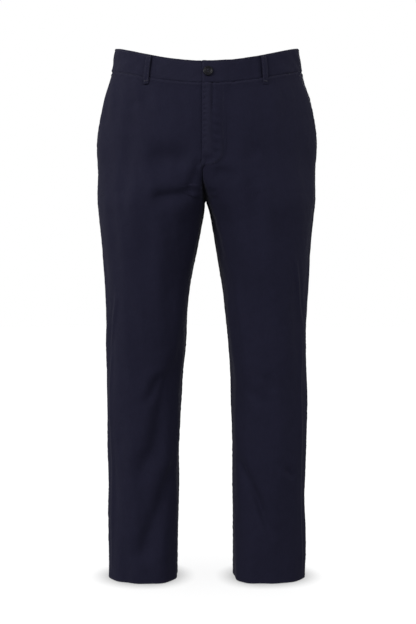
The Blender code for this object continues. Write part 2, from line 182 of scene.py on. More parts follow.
class Bell(NamedTuple):
    """A soft bump: its height, its middle and its reach; a power over 2 squares it off."""

    height: float
    middle: float
    reach: float
    power: int = 2

    def at(self, place: Array) -> Array:
        """The bump's height at some places."""
        return self.height * np.exp(-(((place - self.middle) / self.reach) ** self.power))


def smooth_curve(knots: Sequence[float], values: Sequence[float], at: Array) -> Array:
    """Reads a smooth curve through a table.

    Args:
        knots: falling places, such as heights from the waist down.
        values: the value at each knot.
        at: where to read the curve.

    Returns:
        The curve's values.
    """
    x, y = -np.asarray(knots, float), np.asarray(values, float)
    q = np.clip(-np.asarray(at, float), x[0], x[-1])
    slope = np.gradient(y, x)
    i = np.clip(np.searchsorted(x, q, side="right") - 1, 0, len(x) - 2)
    h = x[i + 1] - x[i]
    t = (q - x[i]) / h
    return (
        (1 + 2 * t) * (1 - t) ** 2 * y[i]
        + t * (1 - t) ** 2 * h * slope[i]
        + t * t * (3 - 2 * t) * y[i + 1]
        + t * t * (t - 1) * h * slope[i + 1]
    )


def column_of(rows: Sequence[NamedTuple], name: str, z: Array) -> Array:
    """One named column of a table whose rows have a height, read smoothly at the heights z."""
    return smooth_curve([row.z for row in rows], [getattr(row, name) for row in rows], z)


@dataclass(frozen=True)
class Form:
    """The shape that all the cloth lies on.

    The centre seams run down the front and the back and curve under to the crotch point. Between the two
    cleft heights the legs round in towards them. At the crotch's height the form is averaged over nearby
    heights, each with a weight and a share of the turn's step, and the front's cleft leans over.
    """

    crotch_z: float = -0.300
    crotch_y: float = 0.010
    front_curve: Span = (-0.228, 2.2)
    back_curve: Span = (-0.165, 2.1)
    cleft: Span = (-0.205, -0.330)
    rounding: Span = (-0.225, -0.285)
    widest_level: Span = (-0.2, -0.5)
    front_drop: float = 0.0514
    drop_power: float = 1.40
    back_rise: float = 0.006
    band_depth: float = 0.0455
    pocket_setback: float = 0.040
    pocket_bottom: float = -0.203
    pocket_power: float = 1.6
    fly_lap: float = 0.009
    fly_bottom: float = -0.240
    fly_fade: float = 0.022
    turn_reach: float = 0.018
    turn_step: float = 0.012
    turn_start: Span = (0.006, 0.020)
    turn_end: Span = (0.150, 0.110)
    turn_least: float = 0.02
    turn_weight: float = 3.0
    turn_samples: tuple[Span, ...] = ((2.5, 0.25), (2.0, 0.5), (1.2, 0.75), (0.6, 1.0))
    crisp: Bell = Bell(0.6, -0.300, 0.030)
    flatter: float = 0.3
    flatter_heights: Span = (-0.330, -0.450)
    lean: Bell = Bell(-0.0085, 0.0, 0.035)
    lean_top: Span = (-0.236, -0.262)
    lean_bottom: Span = (-0.330, -0.262)
    lean_back: Span = (0.050, 0.010)
    segments: int = 28
    chunk: int = 12000
    step: float = 0.0015
    tiny: float = 1e-9
    least_span: float = 1e-12

    def _rise(self, wall: Array, z: Array, curve: Span) -> Array:
        """Where a centre seam lies: on the wall, then curving under to the crotch point.

        Args:
            wall: the wall's Y at each height.
            z: the heights.
            curve: the height at which the curve starts, and its power.

        Returns:
            The seam's Y at each height.
        """
        top, power = curve
        r = np.clip((top - z) / (top - self.crotch_z), 0.0, 1.0)
        return self.crotch_y + (wall - self.crotch_y) * (1.0 - r**power) ** (1.0 / power)

    def _path(self, side: Side, z: Array) -> Array:
        """Level sections as points from the front seam round the side to the back seam.

        Args:
            side: the wearer's side.
            z: the heights, one section each.

        Returns:
            Points (sections, points, 2) of X, always positive, and Y.
        """
        z = np.asarray(z, float)[:, None]
        outer = column_of(SECTIONS, side.word, z)
        front, back = column_of(SECTIONS, "front", z), column_of(SECTIONS, "back", z)
        leg = z <= self.crotch_z + self.tiny
        inner = np.where(leg, column_of(LEG_GAPS, side.word, z), 0.0)
        middle = inner + (outer - inner) * 0.5 * ease(z, *self.cleft)
        seam_front = np.where(leg, self.crotch_y, self._rise(front, z, self.front_curve))
        seam_back = np.where(leg, self.crotch_y, self._rise(back, z, self.back_curve))
        angle = np.linspace(0.0, math.pi / 2, self.segments + 1)[None, :]
        sine, cosine = np.sin(angle), np.cos(angle)
        roundness = ease(z, *self.rounding)
        square = 1.0 + self.crisp.at(z) + self.flatter * ease(z, *self.flatter_heights)
        corner = 2.0 / (square * column_of(LEG_GAPS, "square", z))
        front_inward = (1.0 - roundness) * cosine**2 + roundness * cosine**corner
        back_inward = (1.0 - roundness) * cosine**2 + roundness * cosine
        widest = 0.5 * (front + back) * ease(z, *self.widest_level)
        front_x = middle - (middle - inner) * sine**corner
        back_x = middle - (middle - inner) * sine
        outer_x = middle + (outer - middle) * sine
        xs = [front_x[:, ::-1], outer_x[:, 1:], outer_x[:, -2::-1], back_x[:, 1:]]
        ys = [
            (seam_front + (front - seam_front) * front_inward)[:, ::-1],
            (widest + (front - widest) * cosine)[:, 1:],
            (widest + (back - widest) * cosine)[:, -2::-1],
            (seam_back + (back - seam_back) * back_inward)[:, 1:],
        ]
        return np.stack([np.concatenate(xs, axis=1), np.concatenate(ys, axis=1)], axis=2)

    @staticmethod
    def _along(path: Array) -> Array:
        """Distance along each section to each of its points.

        Args:
            path: the sections, one in each row.

        Returns:
            The distances, from 0 at each section's start.
        """
        along = np.zeros(path.shape[:2])
        np.cumsum(np.hypot(np.diff(path[..., 0]), np.diff(path[..., 1])), axis=1, out=along[:, 1:])
        return along

    def half_length(self, side: Side, half: Half, z: Array) -> Array:
        """Distance from a half's centre seam, or the inseam, to the widest line, at the heights z.

        Args:
            side: the wearer's side.
            half: the front or the back.
            z: the heights.

        Returns:
            The distance at each height.
        """
        shape, flat = np.shape(z), np.ravel(z)
        parts = []
        for start in range(0, len(flat), self.chunk):
            along = self._along(self._path(side, flat[start : start + self.chunk]))
            widest = along[:, 2 * self.segments]
            parts.append(widest if half is FRONT else along[:, -1] - widest)
        return np.concatenate(parts).reshape(shape)

    def _read(self, side: Side, path: Array, along: Array, distance: Array, z: Array) -> Array:
        """Points a distance round one side's sections from the front seam.

        Args:
            side: the wearer's side.
            path: that side's sections, one in each row.
            along: the distances along them.
            distance: the distances round from the centre seam or the inseam.
            z: the heights.

        Returns:
            The points.
        """
        distance = np.clip(distance, 0.0, along[:, -1])
        i = np.clip((along <= distance[:, None]).sum(axis=1) - 1, 0, along.shape[1] - 2)
        k = np.arange(len(distance))
        span = np.maximum(along[k, i + 1] - along[k, i], self.least_span)
        t = ((distance - along[k, i]) / span)[:, None]
        xy = path[k, i] * (1.0 - t) + path[k, i + 1] * t
        return np.column_stack([side.value * xy[:, 0], xy[:, 1], z])

    def _level(self, side: Side, half: Half, distance: Array, z: Array) -> Array:
        """Places on the level sections, for flat lists of distances and heights.

        Args:
            side: the wearer's side.
            half: the front or the back.
            distance: the distances round from the centre seam or the inseam.
            z: the heights.

        Returns:
            The places, with X, Y and Z last.
        """
        other = Side(-side.value)
        out = np.empty((distance.size, 3))
        for start in range(0, distance.size, self.chunk):
            cut = slice(start, start + self.chunk)
            d, h = distance[cut], z[cut]
            path = self._path(side, h)
            along = self._along(path)
            total = along[:, -1]
            round_from_front = d if half is FRONT else total - d
            leg = h <= self.crotch_z + self.tiny
            round_from_front = np.where(leg, np.mod(round_from_front, total), round_from_front)
            points = self._read(side, path, along, round_from_front, h)
            beyond = ~leg & (d < 0.0)
            if beyond.any():
                far_path = self._path(other, h[beyond])
                far_along = self._along(far_path)
                far = -d[beyond] if half is FRONT else far_along[:, -1] + d[beyond]
                points[beyond] = self._read(other, far_path, far_along, far, h[beyond])
            out[cut] = points
        return out

    def _near_turn(self, distance: Array, z: Array) -> Array:
        """How near places are to the turn at the crotch's height, away from the seams; 1 is on it."""
        near = Bell(1.0, self.crotch_z, self.turn_reach).at(z)
        return near * ease(distance, *self.turn_start) * ease(distance, *self.turn_end)

    def _depth(self, side: Side, half: Half, x: Array, z: Array) -> Array:
        """The form's Y at places given by how far they lie from the middle, for flat lists.

        Args:
            side: the wearer's side.
            half: the front or the back.
            x: how far the places lie from the middle.
            z: the heights.

        Returns:
            Y at each place.
        """
        path = self.half_path(side, half, z)
        i = np.clip((path[..., 0] <= x[:, None]).sum(axis=1) - 1, 0, path.shape[1] - 2)
        k = np.arange(len(x))
        span = np.maximum(path[k, i + 1, 0] - path[k, i, 0], self.tiny)
        t = np.clip((x - path[k, i, 0]) / span, 0.0, 1.0)
        return path[k, i, 1] * (1.0 - t) + path[k, i + 1, 1] * t

    def surface(self, side: Side, half: Half, distance: Array, z: Array) -> Array:
        """Places on the form.

        Args:
            side: the wearer's side.
            half: the half whose centre seam or inseam the distance is measured from.
            distance: the distance round; below 0 it runs on past that seam.
            z: the heights.

        Returns:
            The points, with the shape of distance and a last axis of X, Y and Z.
        """
        distance, z = np.broadcast_arrays(np.asarray(distance, float), np.asarray(z, float))
        flat_d, flat_z = distance.ravel(), z.ravel()
        points = self._level(side, half, flat_d, flat_z)
        eased = self._near_turn(flat_d, flat_z)
        turn = eased > self.turn_least
        if turn.any():
            at_x, at_z = np.abs(points[turn, 0]), flat_z[turn]
            mean, total = points[turn, 1] * self.turn_weight, self.turn_weight
            for weight, step in self.turn_samples:
                total += 2.0 * weight
                for height in (at_z + step * self.turn_step, at_z - step * self.turn_step):
                    mean += weight * self._depth(side, half, at_x, height)
            points[turn, 1] += (mean / total - points[turn, 1]) * eased[turn]
        lean = self.lean.at(points[:, 0]) * ease(flat_z, *self.lean_top) * ease(flat_z, *self.lean_bottom)
        points[:, 0] += lean * ease(points[:, 1], *self.lean_back)
        return points.reshape(*distance.shape, 3)

    def outward(self, side: Side, half: Half, distance: Array, z: Array) -> Array:
        """Unit directions out of the form, at the same places as surface.

        Args:
            side: the wearer's side.
            half: the front or the back.
            distance: the distances round from the centre seam or the inseam.
            z: the heights.

        Returns:
            The direction at each place, with X, Y and Z last.
        """
        distance, z = np.broadcast_arrays(np.asarray(distance, float), np.asarray(z, float))
        across = self.surface(side, half, distance + self.step, z)
        across = across - self.surface(side, half, distance - self.step, z)
        leg = z <= self.crotch_z + self.tiny
        wide = (self.step + self.turn_step) * self._near_turn(distance, z)
        above = np.where(leg, z + wide, z + self.step + wide)
        below = np.where(leg, z - self.step - wide, z - wide)
        down = self.surface(side, half, distance, below) - self.surface(side, half, distance, above)
        normal = np.cross(across, down)
        normal /= np.linalg.norm(normal, axis=-1, keepdims=True)
        return normal * (side.value * half.value)

    def with_normals(self, side: Side, half: Half, distance: Array, z: Array) -> tuple[Array, Array]:
        """Places on the form and the directions out of it there."""
        return self.surface(side, half, distance, z), self.outward(side, half, distance, z)

    def waist_dip(self, half: Half, share_round: Array) -> Array:
        """How far the waistline lies above or below its side level; 0 round is the centre and 1 the side."""
        cosine = np.cos(np.clip(share_round, 0.0, 1.0) * math.pi / 2)
        return -self.front_drop * cosine**self.drop_power if half is FRONT else self.back_rise * cosine**2

    def dip_at(self, side: Side, half: Half, distance: Array, z: Array) -> Array:
        """The waist's dip at some places."""
        return self.waist_dip(half, np.abs(distance) / self.half_length(side, half, z))

    def side_seam(self, side: Side, half: Half, z: Array) -> Array:
        """Distance from a half's centre seam or inseam to the side seam."""
        knots, shifts = zip(*SIDE_SEAM_FORWARD)
        return self.half_length(side, half, z) + half.value * smooth_curve(knots, shifts, z)

    def mouth(self, z: Array) -> Array:
        """How far in front of the side seam the pocket mouth runs."""
        t = np.clip((z + self.band_depth) / (self.pocket_bottom + self.band_depth), 0.0, 1.0)
        return self.pocket_setback * (1.0 - t**self.pocket_power)

    def fly_edge(self, z: Array) -> Array:
        """How far past the centre the left front reaches at the fly."""
        return self.fly_lap * ease(z, self.fly_bottom - self.fly_fade, self.fly_bottom)

    def waist_share(self, z: Array) -> Array:
        """The share of the waist's dip that the panels follow at a height at the side."""
        heights, _, shares = zip(*PANEL_ROWS[::-1])
        return np.interp(z, heights, shares)

    def half_path(self, side: Side, half: Half, z: Array) -> Array:
        """One half's level sections at the heights z, from its centre seam or inseam to the widest line.

        Args:
            side: the wearer's side.
            half: the front or the back.
            z: the heights.

        Returns:
            The sections, one in each row.
        """
        path = self._path(side, z)
        turn = 2 * self.segments
        return path[:, : turn + 1] if half is FRONT else path[:, : turn - 1 : -1]


@dataclass(frozen=True)
class Fold:
    """A soft crease in the cloth, or a ridge where its depth is below 0. It fades out at both ends.

    Its line is a few places on one half as X and Z. Its lip is the share of its depth that the cloth stands
    up beside it. Seen from the wearer's right, that is on the left as the line runs, or on the right below 0;
    the wearer's left mirrors it. The valley is steep on that side and gentler by a factor on the other.
    """

    side: Side
    half: Half
    line: tuple[Span, ...]
    depth: float
    width: float
    lip: float = 0.4
    fade: float = 0.35
    gentle: float = 1.0


@dataclass(frozen=True)
class Ripples:
    """Seeded unevenness: many faint waves that cross the cloth, long down it and short across it."""

    height: float
    across: float
    down: float
    seed: int
    count: int = 26

    def at(self, points: Array) -> Array:
        """The height of the ripples at some points.

        Args:
            points: the points, with X, Y and Z last.

        Returns:
            The height at each point.
        """
        random = np.random.default_rng(self.seed)
        waves = random.normal(size=(self.count, 3)) * (2.0 * math.pi)
        waves = waves / np.array([self.across, self.across, self.down])
        phase = random.uniform(0.0, 2.0 * math.pi, self.count)
        total = np.zeros(points.shape[:-1])
        for wave, start in zip(waves, phase):
            total += np.sin(points @ wave + start)
        return self.height * math.sqrt(2.0 / self.count) * total


def panel_folds(side: Side, half: Half, *rows: tuple) -> tuple[Fold, ...]:
    """The folds of one leg panel, from rows of a line in millimetres and the fold's other values.

    Args:
        side: the wearer's side.
        half: the front or the back.
        *rows: for each fold its line in millimetres, then a Fold's other values.

    Returns:
        The panel's folds.
    """
    made = []
    for line, *rest in rows:
        made.append(Fold(side, half, tuple((x / 1000, z / 1000) for x, z in line), *rest))
    return tuple(made)


FOLDS = (
    # Below the pocket, at the crotch, down the leg, then the ridges along it and at the pocket
    *panel_folds(
        RIGHT, FRONT,
        (((-126, -239), (-90, -234), (-54, -237), (-18, -250)), 0.0080, 0.0200, 0.20, 0.38, 1.3),
        (
            ((-114, -313), (-92, -309), (-72, -306), (-53, -304), (-41, -301), (-30, -291), (-22, -272),
             (-17, -249), (-13.5, -226)),
            0.0056, 0.0105, 0.30, 0.14, 1.8,
        ),
        (
            ((-59, -590), (-67, -630), (-77, -668), (-83, -704), (-91, -743), (-103, -788),
             (-118, -824), (-138, -866)),
            0.0090, 0.0160, -0.30, 0.25, 1.8,
        ),
        (
            ((-59, -800), (-71, -842), (-86, -889), (-98, -922), (-111, -958), (-122, -988),
             (-134, -1014)),
            0.0090, 0.0165, -0.10, 0.24, 1.4,
        ),
        (((-86, -634), (-102, -672), (-120, -712)), 0.0044, 0.0100, -0.4),
        (((-174, -470), (-178, -522), (-184, -566), (-190, -612)), -0.0030, 0.0055, -0.5),
        (((-186, -580), (-187, -720), (-185, -880), (-186, -1046)), -0.0024, 0.0052, 0.0, 0.1),
        (((-94, -335), (-95, -450), (-93, -560), (-96, -655)), -0.0045, 0.0230, 0.0),
        (((-176, -108), (-150, -124), (-120, -130)), 0.0014, 0.0120),
    ),
    # Below the fly, down the leg, the ridges along it and the pull below the pocket
    *panel_folds(
        LEFT, FRONT,
        (((12, -256), (34, -263), (68, -268)), 0.0020, 0.0085, -0.3, 0.3, 1.8),
        (
            ((56, -800), (66, -822), (80, -850), (98, -887), (114, -928), (136, -976)),
            0.0052, 0.0100, 0.0, 0.30,
        ),
        (((78, -848), (98, -887), (114, -930), (134, -974)), 0.0034, 0.0066, 0.12, 0.4),
        (((74, -662), (100, -690), (124, -706)), 0.0024, 0.0110),
        (((108, -640), (122, -662), (130, -684)), 0.0022, 0.0080),
        (((146, -822), (172, -849)), 0.0024, 0.0065),
        (((166, -400), (174, -455), (180, -512), (188, -566)), -0.0026, 0.0050, -0.5),
        (((183, -560), (182, -720), (184, -880), (185, -1046)), -0.0022, 0.0050, 0.0, 0.1),
        (((110, -208), (86, -226), (60, -250)), 0.0014, 0.0130, 0.2),
    ),
    # The hang below the seat, behind the knee and at the calf
    *panel_folds(
        RIGHT, BACK,
        (((-14, -262), (-52, -300), (-104, -322), (-150, -326)), 0.0046, 0.0100, 0.5),
        (((-26, -338), (-62, -366), (-108, -378)), 0.0036, 0.0090, 0.5),
        (((-160, -170), (-140, -236), (-104, -288)), 0.0034, 0.0150, 0.2),
        (((-58, -560), (-104, -584), (-156, -586)), 0.0044, 0.0110, 0.4),
        (((-72, -628), (-120, -652), (-166, -650)), 0.0032, 0.0095, 0.4),
        (((-78, -800), (-112, -864), (-150, -934)), 0.0056, 0.0130, 0.3),
    ),
    # As on the right, at other places
    *panel_folds(
        LEFT, BACK,
        (((16, -268), (56, -308), (110, -334), (146, -340)), 0.0042, 0.0095, 0.5),
        (((30, -352), (70, -374), (124, -392)), 0.0034, 0.0100, 0.5),
        (((156, -156), (142, -226), (112, -280)), 0.0032, 0.0160, 0.2),
        (((52, -546), (98, -572), (148, -580)), 0.0042, 0.0105, 0.4),
        (((64, -618), (106, -636), (160, -662)), 0.0036, 0.0105, 0.4),
        (((70, -782), (110, -850), (138, -920)), 0.0054, 0.0125, 0.3),
    ),
)

UNEVENNESS = (
    Ripples(0.00110, 0.080, 0.200, 11),
    Ripples(0.00016, 0.030, 0.050, 12),
    Ripples(0.00004, 0.006, 0.011, 13),
)


class Drape:
    """The hang of the cloth: its folds and its unevenness, as one lift over the whole form.

    A fold's reach is how many of its widths it is felt over, and its lip lies where its bell is.
    """

    line_steps = 4
    lip = Bell(1.0, 1.9, 1.25)
    reach = 2.6
    lip_reach = 1.7

    def __init__(self, form: Form, folds: Sequence[Fold], unevenness: Sequence[Ripples]) -> None:
        """Places each fold's line on the form.

        Args:
            form: the form that the cloth lies on.
            folds: the folds.
            unevenness: the layers of ripples.
        """
        self.form = form
        self.unevenness = unevenness
        self.routes = [(fold, self._route(fold)) for fold in folds]

    def _route(self, fold: Fold) -> Array:
        """Points along a fold's line, on the form.

        Args:
            fold: the fold.

        Returns:
            The points, from the fold's start to its end.
        """
        line = np.array(fold.line)
        knots = np.arange(len(line), dtype=float)
        at = np.linspace(0.0, knots[-1], self.line_steps * len(line))
        x, z = (smooth_curve(-knots, line[:, axis], -at) for axis in (0, 1))
        path = self.form.half_path(fold.side, fold.half, z)
        y = [np.interp(abs(px), row[:, 0], row[:, 1]) for px, row in zip(x, path)]
        return np.column_stack([x, y, z])

    def _fold_lift(self, fold: Fold, route: Array, points: Array, normals: Array) -> Array:
        """How far one fold lifts the cloth at some points.

        Args:
            fold: the fold.
            route: the points along its line.
            points: places on the form, with X, Y and Z last.
            normals: the directions out of the form there.

        Returns:
            The lift at each point.
        """
        start, along = route[:-1], np.diff(route, axis=0)
        away = points[:, None, :] - start[None]
        t = np.clip((away * along[None]).sum(axis=2) / (along**2).sum(axis=1), 0.0, 1.0)
        nearest = away - t[..., None] * along[None]
        distance = np.linalg.norm(nearest, axis=2)
        pick = distance.argmin(axis=1)
        k = np.arange(len(points))
        reach = distance[k, pick] / fold.width
        hand = np.sign((np.cross(along[pick], normals) * nearest[k, pick]).sum(axis=1))
        hand = hand * -fold.side.value * fold.half.value
        share = (pick + t[k, pick]) / len(along)
        ends = ease(share, 0.0, fold.fade) * ease(share, 1.0, 1.0 - fold.fade)
        beside = math.copysign(1.0, fold.lip) * hand * reach
        valley = np.exp(-((reach / np.where(beside > 0.0, 1.0, fold.gentle)) ** 2))
        return fold.depth * ends * (abs(fold.lip) * self.lip.at(beside) - valley)

    def lift(self, side: Side, points: Array, normals: Array) -> Array:
        """How far the hang lifts the cloth off the form.

        Args:
            side: the wearer's side.
            points: places on the form, with X, Y and Z last.
            normals: the directions out of the form there.

        Returns:
            The lift at each place, below 0 where the cloth lies in.
        """
        shape = points.shape[:-1]
        flat, out_of = points.reshape(-1, 3), normals.reshape(-1, 3)
        total = sum(layer.at(flat) for layer in self.unevenness)
        for fold, route in self.routes:
            if fold.side is not side:
                continue
            room = self.reach * fold.width * max(fold.gentle, self.lip_reach)
            low, high = route.min(axis=0) - room, route.max(axis=0) + room
            near = ((flat > low) & (flat < high)).all(axis=1)
            if near.any():
                total[near] += self._fold_lift(fold, route, flat[near], out_of[near])
        return total.reshape(shape)


# How many times a height that follows the waist is worked out, each closer than the last
SETTLING = 3

# How far the middle of a stitch's thread lies above the cloth
THREAD_ABOVE = 0.00010

# How much of a line's direction is Z where it counts as upright
UPRIGHT = 0.8


def graded(length: float, coarse: float, start: float, end: float, growth: float = 0.22) -> Array:
    """Shares along a length whose steps are fine at both ends and coarse between them.

    Args:
        length: the whole length.
        coarse: the largest step.
        start: the first step.
        end: the last step.
        growth: how much a step grows for each length passed.

    Returns:
        Shares from 0 to 1.
    """
    places = [0.0]
    while places[-1] < length:
        here = places[-1]
        places.append(here + min(coarse, start + growth * here, end + growth * max(length - here, 0.0)))
    return np.array(places) / places[-1]


def add_object(name: str, data: "bpy.types.ID | None") -> Thing:
    """A new object, linked to the scene.

    Args:
        name: the object's name.
        data: its mesh, light or camera, or nothing.

    Returns:
        The object.
    """
    made = bpy.data.objects.new(name, data)
    bpy.context.scene.collection.objects.link(made)
    return made


def shell(
    name: str, outer: Array, inner: Array, uv: Array, wear_and_highlight: Array, flip: bool, finish: Finish
) -> Thing:
    """A closed thin wall between two grids of points.

    Args:
        name: the object's name.
        outer: the outer grid, rows down and columns across, with X, Y and Z last.
        inner: the inner grid, of the same size.
        uv: the cloth's own flat place at each grid point, in metres.
        wear_and_highlight: how much paler the cloth is at each grid point, from 0 to 1, partly from abrasion
            and partly painted highlight.
        flip: whether the grid's faces have to be turned round to face out.
        finish: the cloth's material.

    Returns:
        The object, linked to the scene.
    """
    rows, columns = outer.shape[:2]
    index = np.arange(rows * columns).reshape(rows, columns)
    quads = np.stack([index[:-1, :-1], index[:-1, 1:], index[1:, 1:], index[1:, :-1]], axis=-1).reshape(-1, 4)
    border = np.concatenate([index[0, :-1], index[:-1, -1], index[-1, :0:-1], index[:0:-1, 0]])
    following = np.roll(border, -1)
    depth = rows * columns
    rim = np.stack([following, border, border + depth, following + depth], axis=-1)
    faces = np.concatenate([quads, quads[:, ::-1] + depth, rim])
    if flip:
        faces = faces[:, ::-1]
    mesh = bpy.data.meshes.new(name)
    mesh.vertices.add(2 * depth)
    mesh.vertices.foreach_set("co", np.concatenate([outer, inner]).ravel().astype(np.float32))
    mesh.loops.add(faces.size)
    mesh.loops.foreach_set("vertex_index", faces.ravel().astype(np.int32))
    mesh.polygons.add(len(faces))
    mesh.polygons.foreach_set("loop_start", np.arange(0, faces.size, 4, dtype=np.int32))
    mesh.update(calc_edges=True)
    layer = mesh.uv_layers.new(name="cloth")
    both = np.concatenate([uv.reshape(-1, 2), uv.reshape(-1, 2)])
    layer.data.foreach_set("uv", both[faces.ravel()].ravel().astype(np.float32))
    # This attribute carries both edge abrasion and painted highlights; the cloth's material paints them
    # paler.
    worn_and_lit = mesh.attributes.new("wear_and_highlight", "FLOAT", "POINT")
    worn_and_lit.data.foreach_set("value", np.concatenate([wear_and_highlight.ravel()] * 2).astype(np.float32))
    mesh.validate()
    mesh.shade_smooth()
    mesh.set_sharp_from_angle(angle=math.radians(CLOTH_CRISP))
    mesh.materials.append(finish)
    return add_object(name, mesh)


@dataclass(frozen=True)
class Cut:
    """The flat size of a piece: its width, its length and its area."""

    width: float
    length: float
    area: float

    @classmethod
    def of(cls, grid: Array) -> "Cut":
        """The flat size of an unfolded grid of points.

        Args:
            grid: the points, rows down and columns across.

        Returns:
            Its longest width and length, and its area.
        """
        across = np.linalg.norm(np.diff(grid, axis=1), axis=2).sum(axis=1)
        down = np.linalg.norm(np.diff(grid, axis=0), axis=2).sum(axis=0)
        one = np.cross(grid[:-1, 1:] - grid[:-1, :-1], grid[1:, :-1] - grid[:-1, :-1])
        two = np.cross(grid[1:, :-1] - grid[1:, 1:], grid[:-1, 1:] - grid[1:, 1:])
        area = 0.5 * (np.linalg.norm(one, axis=2).sum() + np.linalg.norm(two, axis=2).sum())
        width, length = sorted((round(float(across.max()), 4), round(float(down.max()), 4)))
        return cls(width, length, min(round(float(area), 6), width * length))


@dataclass
class ClothPiece:
    """A piece of cloth on the form: a grid of places, and how far the cloth lies off the form at each.

    The gap at sewn seams is below 0, so the pieces run a little into each other and no light comes through.
    """

    form: Form
    drape: Drape
    side: Side
    half: Half
    name: str
    wall: float = 0.0012
    seam_gap: float = -0.0004
    held: str = "hung"
    rests_on: tuple[str, ...] = ()

    @property
    def flip(self) -> bool:
        """Whether the grid's faces point in as they are made."""
        return self.side.value * self.half.value < 0

    def lift(self, distance: Array, z: Array) -> Array:
        """How far the outer face lies off the form at some places."""
        raise NotImplementedError

    def wear_and_highlight(self, distance: Array, z: Array) -> Array:
        """How much paler the cloth is at some places, from 0 to 1: partly abrasion, partly painted highlight.
        """
        return np.zeros(np.shape(distance))

    def grid(self) -> tuple[Array, Array]:
        """The distances and heights of the grid."""
        raise NotImplementedError

    def settle(
        self,
        rows: Array,
        waist: Array,
        columns: Array,
        start: Callable[[Array], Array],
        end: Callable[[Array], Array],
    ) -> tuple[Array, Array]:
        """A grid whose rows follow the waistline and whose columns run between two edges.

        Args:
            rows: the rows' heights, before the waist's dip, at each column.
            waist: the share of the dip that each row follows.
            columns: the share of the way across at each column.
            start: gives the first edge's distance at some heights.
            end: gives the last edge's distance at some heights.

        Returns:
            The distances and the heights.
        """
        columns = np.atleast_2d(columns)
        level = rows if rows.ndim == 2 else np.repeat(rows[:, None], columns.shape[1], axis=1)
        z = level.copy()
        for _ in range(SETTLING):
            first, last = start(z), end(z)
            distance = first + self.across(last - first, z, columns)
            z = level + waist[:, None] * self.form.dip_at(self.side, self.half, distance, z)
        return distance, z

    def across(self, span: Array, z: Array, columns: Array) -> Array:
        """How far the columns lie from the first edge, from the whole way across."""
        return span * columns

    def place(self, distance: Array, z: Array, above: float = 0.0) -> Array:
        """Points on the piece's outer face, or a little above it.

        Args:
            distance: the distances round from the centre seam or the inseam.
            z: the heights.
            above: how far over the outer face the points lie.

        Returns:
            The points, with X, Y and Z last.
        """
        distance, z = np.broadcast_arrays(np.asarray(distance, float), np.asarray(z, float))
        points, normals = self.form.with_normals(self.side, self.half, distance, z)
        return points + normals * (self.lift(distance, z) + above)[..., None]

    def build(self, finish: Finish) -> Thing:
        """Args:
            finish: the cloth's material.

        Returns:
            The finished object.
        """
        distance, z = self.grid()
        points, normals = self.form.with_normals(self.side, self.half, distance, z)
        lift = self.lift(distance, z)[..., None]
        turn = -self.side.value * self.half.value
        uv = np.stack([turn * distance, z], axis=-1)
        outer, inner = points + normals * lift, points + normals * (lift - self.wall)
        made = shell(self.name + "_cloth", outer, inner, uv, self.wear_and_highlight(distance, z), self.flip, finish)
        return self.declare(made, Cut.of(points))

    def declare(self, made: Thing, cut: Cut) -> Thing:
        """Attaches the finished object to its body and hides its solid.

        Args:
            made: the piece's object.
            cut: its flat size; not used.

        Returns:
            The object.
        """
        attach(made, BODY)
        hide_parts(self.name)
        return made


